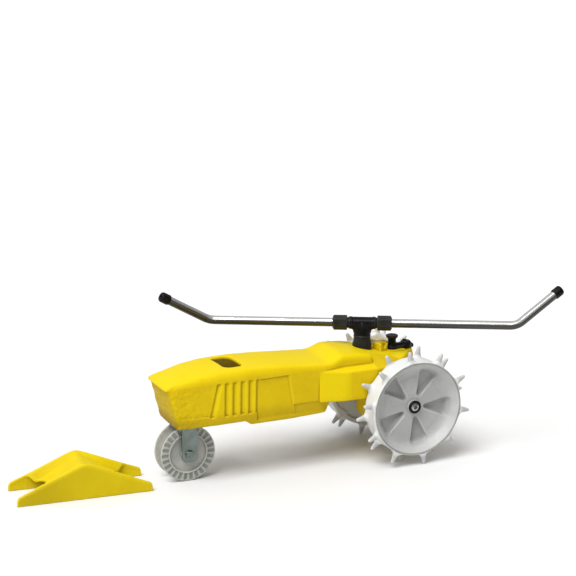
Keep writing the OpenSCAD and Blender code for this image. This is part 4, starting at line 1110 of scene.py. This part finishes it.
V, F, bend = skin(ramp_f, (-577, -32, -0.5), (-377, 54, 51), 1.25)
ru = (V[:, 0] + 477) * RC + (V[:, 1] - 11) * RS
rv = np.abs(-(V[:, 0] + 477) * RS + (V[:, 1] - 11) * RC)
# painted shade on both walls, more towards the left end, and on the left roof slope
painted_shade = step01(30.5, 32.5, rv) * (0.16 + 0.34 * (1 - step01(-80, 30, ru))) + 0.13 * (1 - step01(29.5, 31, rv)) * (1 - step01(-20, -4, ru))
# painted light on the roof's right slope, strongest near the ridge
lit = step01(-2, 12, ru) * (1 - step01(29.5, 31.5, rv)) * (1 - 0.65 * step01(20, 50, ru))
put("stop_ramp", V, F, MAT["yellow_plastic"], "ramp", ["ramp"], bend, {"painted_shade": painted_shade, "lit": lit})


# ---------------------------------------------------------------- other CAD pieces
slot_of = {s["node"]: s["material_slot"] for s in frame["record"]["subparts"]}
for n, o in nodes.items():
    if o.hide_render:
        continue
    o.data.materials.clear()
    o.data.materials.append(MAT[slot_of[n]])
    w = o.modifiers.new("weld", "WELD")
    w.merge_threshold = 2e-6
    b = o.modifiers.new("edges", "BEVEL")
    b.width = 0.00035
    b.segments = 2
    b.limit_method = "ANGLE"
    b.angle_limit = math.radians(38)
    b.harden_normals = False

# ---------------------------------------------------------------- stage
scene.view_settings.view_transform = "Standard"
cam = bpy.data.cameras.new("camera")
cam.sensor_width = 36.0
cam.lens = 115.24
cam.clip_start, cam.clip_end = 0.05, 60.0
cam_o = bpy.data.objects.new("camera", cam)
scene.collection.objects.link(cam_o)
az, el, roll = math.radians(-24.32), math.radians(14.76), math.radians(0.13)
back = Vector((math.sin(az) * math.cos(el), -math.cos(az) * math.cos(el), math.sin(el)))
right = Vector((math.cos(az), math.sin(az), 0))
up = back.cross(right)
r2, u2 = right * math.cos(roll) + up * math.sin(roll), up * math.cos(roll) - right * math.sin(roll)
place = Matrix((r2, u2, back)).transposed().to_4x4()
place.translation = Vector((-1.038004, -2.311067, 0.930118))
cam_o.matrix_world = place
scene.camera = cam_o

# a soft sky, darker towards the horizon
world = bpy.data.worlds.new("studio")
world.use_nodes = True
wt = world.node_tree
sky = wt.nodes["Background"]
split = wt.nodes.new("ShaderNodeSeparateXYZ")
wt.links.new(wt.nodes.new("ShaderNodeTexCoord").outputs["Generated"], split.inputs[0])
ramp = wt.nodes.new("ShaderNodeValToRGB")
wt.links.new(split.outputs["Z"], ramp.inputs[0])
marks = ramp.color_ramp.elements
marks[0].position, marks[0].color = 0.0, (0.20, 0.20, 0.20, 1)
marks[1].position, marks[1].color = 1.0, (0.92, 0.92, 0.92, 1)
for at, v in ((0.10, 0.26), (0.30, 0.55), (0.55, 0.80)):
    marks.new(at).color = (v, v, v, 1)
wt.links.new(ramp.outputs[0], sky.inputs[0])


def world_math(op, a, b):
    n = wt.nodes.new("ShaderNodeMath")
    n.operation = op
    for v, socket in ((a, n.inputs[0]), (b, n.inputs[1])):
        if isinstance(v, float):
            socket.default_value = v
        else:
            wt.links.new(v, socket)
    return n.outputs[0]


# brighter ahead and behind the object, darker on the viewer's side
side = world_math("ADD", world_math("MULTIPLY", split.outputs["Y"], 0.30), world_math("MULTIPLY", split.outputs["X"], -0.20))
wt.links.new(world_math("ADD", side, 0.80), sky.inputs[1])
scene.world = world


def lamp(name, towards, strength, spread, tint=(1, 1, 1)):
    """A broad even light that comes from the given direction."""
    l = bpy.data.lights.new(name, "SUN")
    l.energy, l.angle, l.color = strength, math.radians(spread), tint
    o = bpy.data.objects.new(name, l)
    o.rotation_mode = "QUATERNION"
    o.rotation_quaternion = (-Vector(towards)).to_track_quat("-Z", "Y")
    scene.collection.objects.link(o)
    return o


lamp("key", (-0.46, -0.30, 0.84), 2.7, 34)

fm = bpy.data.meshes.new("floor")
s = 14.0
fm.from_pydata([(-s, -s, 0), (s, -s, 0), (s, s, 0), (-s, s, 0)], [], [(0, 1, 2, 3)])
floor = bpy.data.objects.new("floor", fm)
floor.location.z = -0.0004
scene.collection.objects.link(floor)
f = Net("floor")
f.color(f.mix(f.noise(1.5, 2), (0.78, 0.78, 0.78), (0.81, 0.81, 0.81)))
f.set(Roughness=0.9, Specular_IOR_Level=0.1)
fm.materials.append(f.mat)
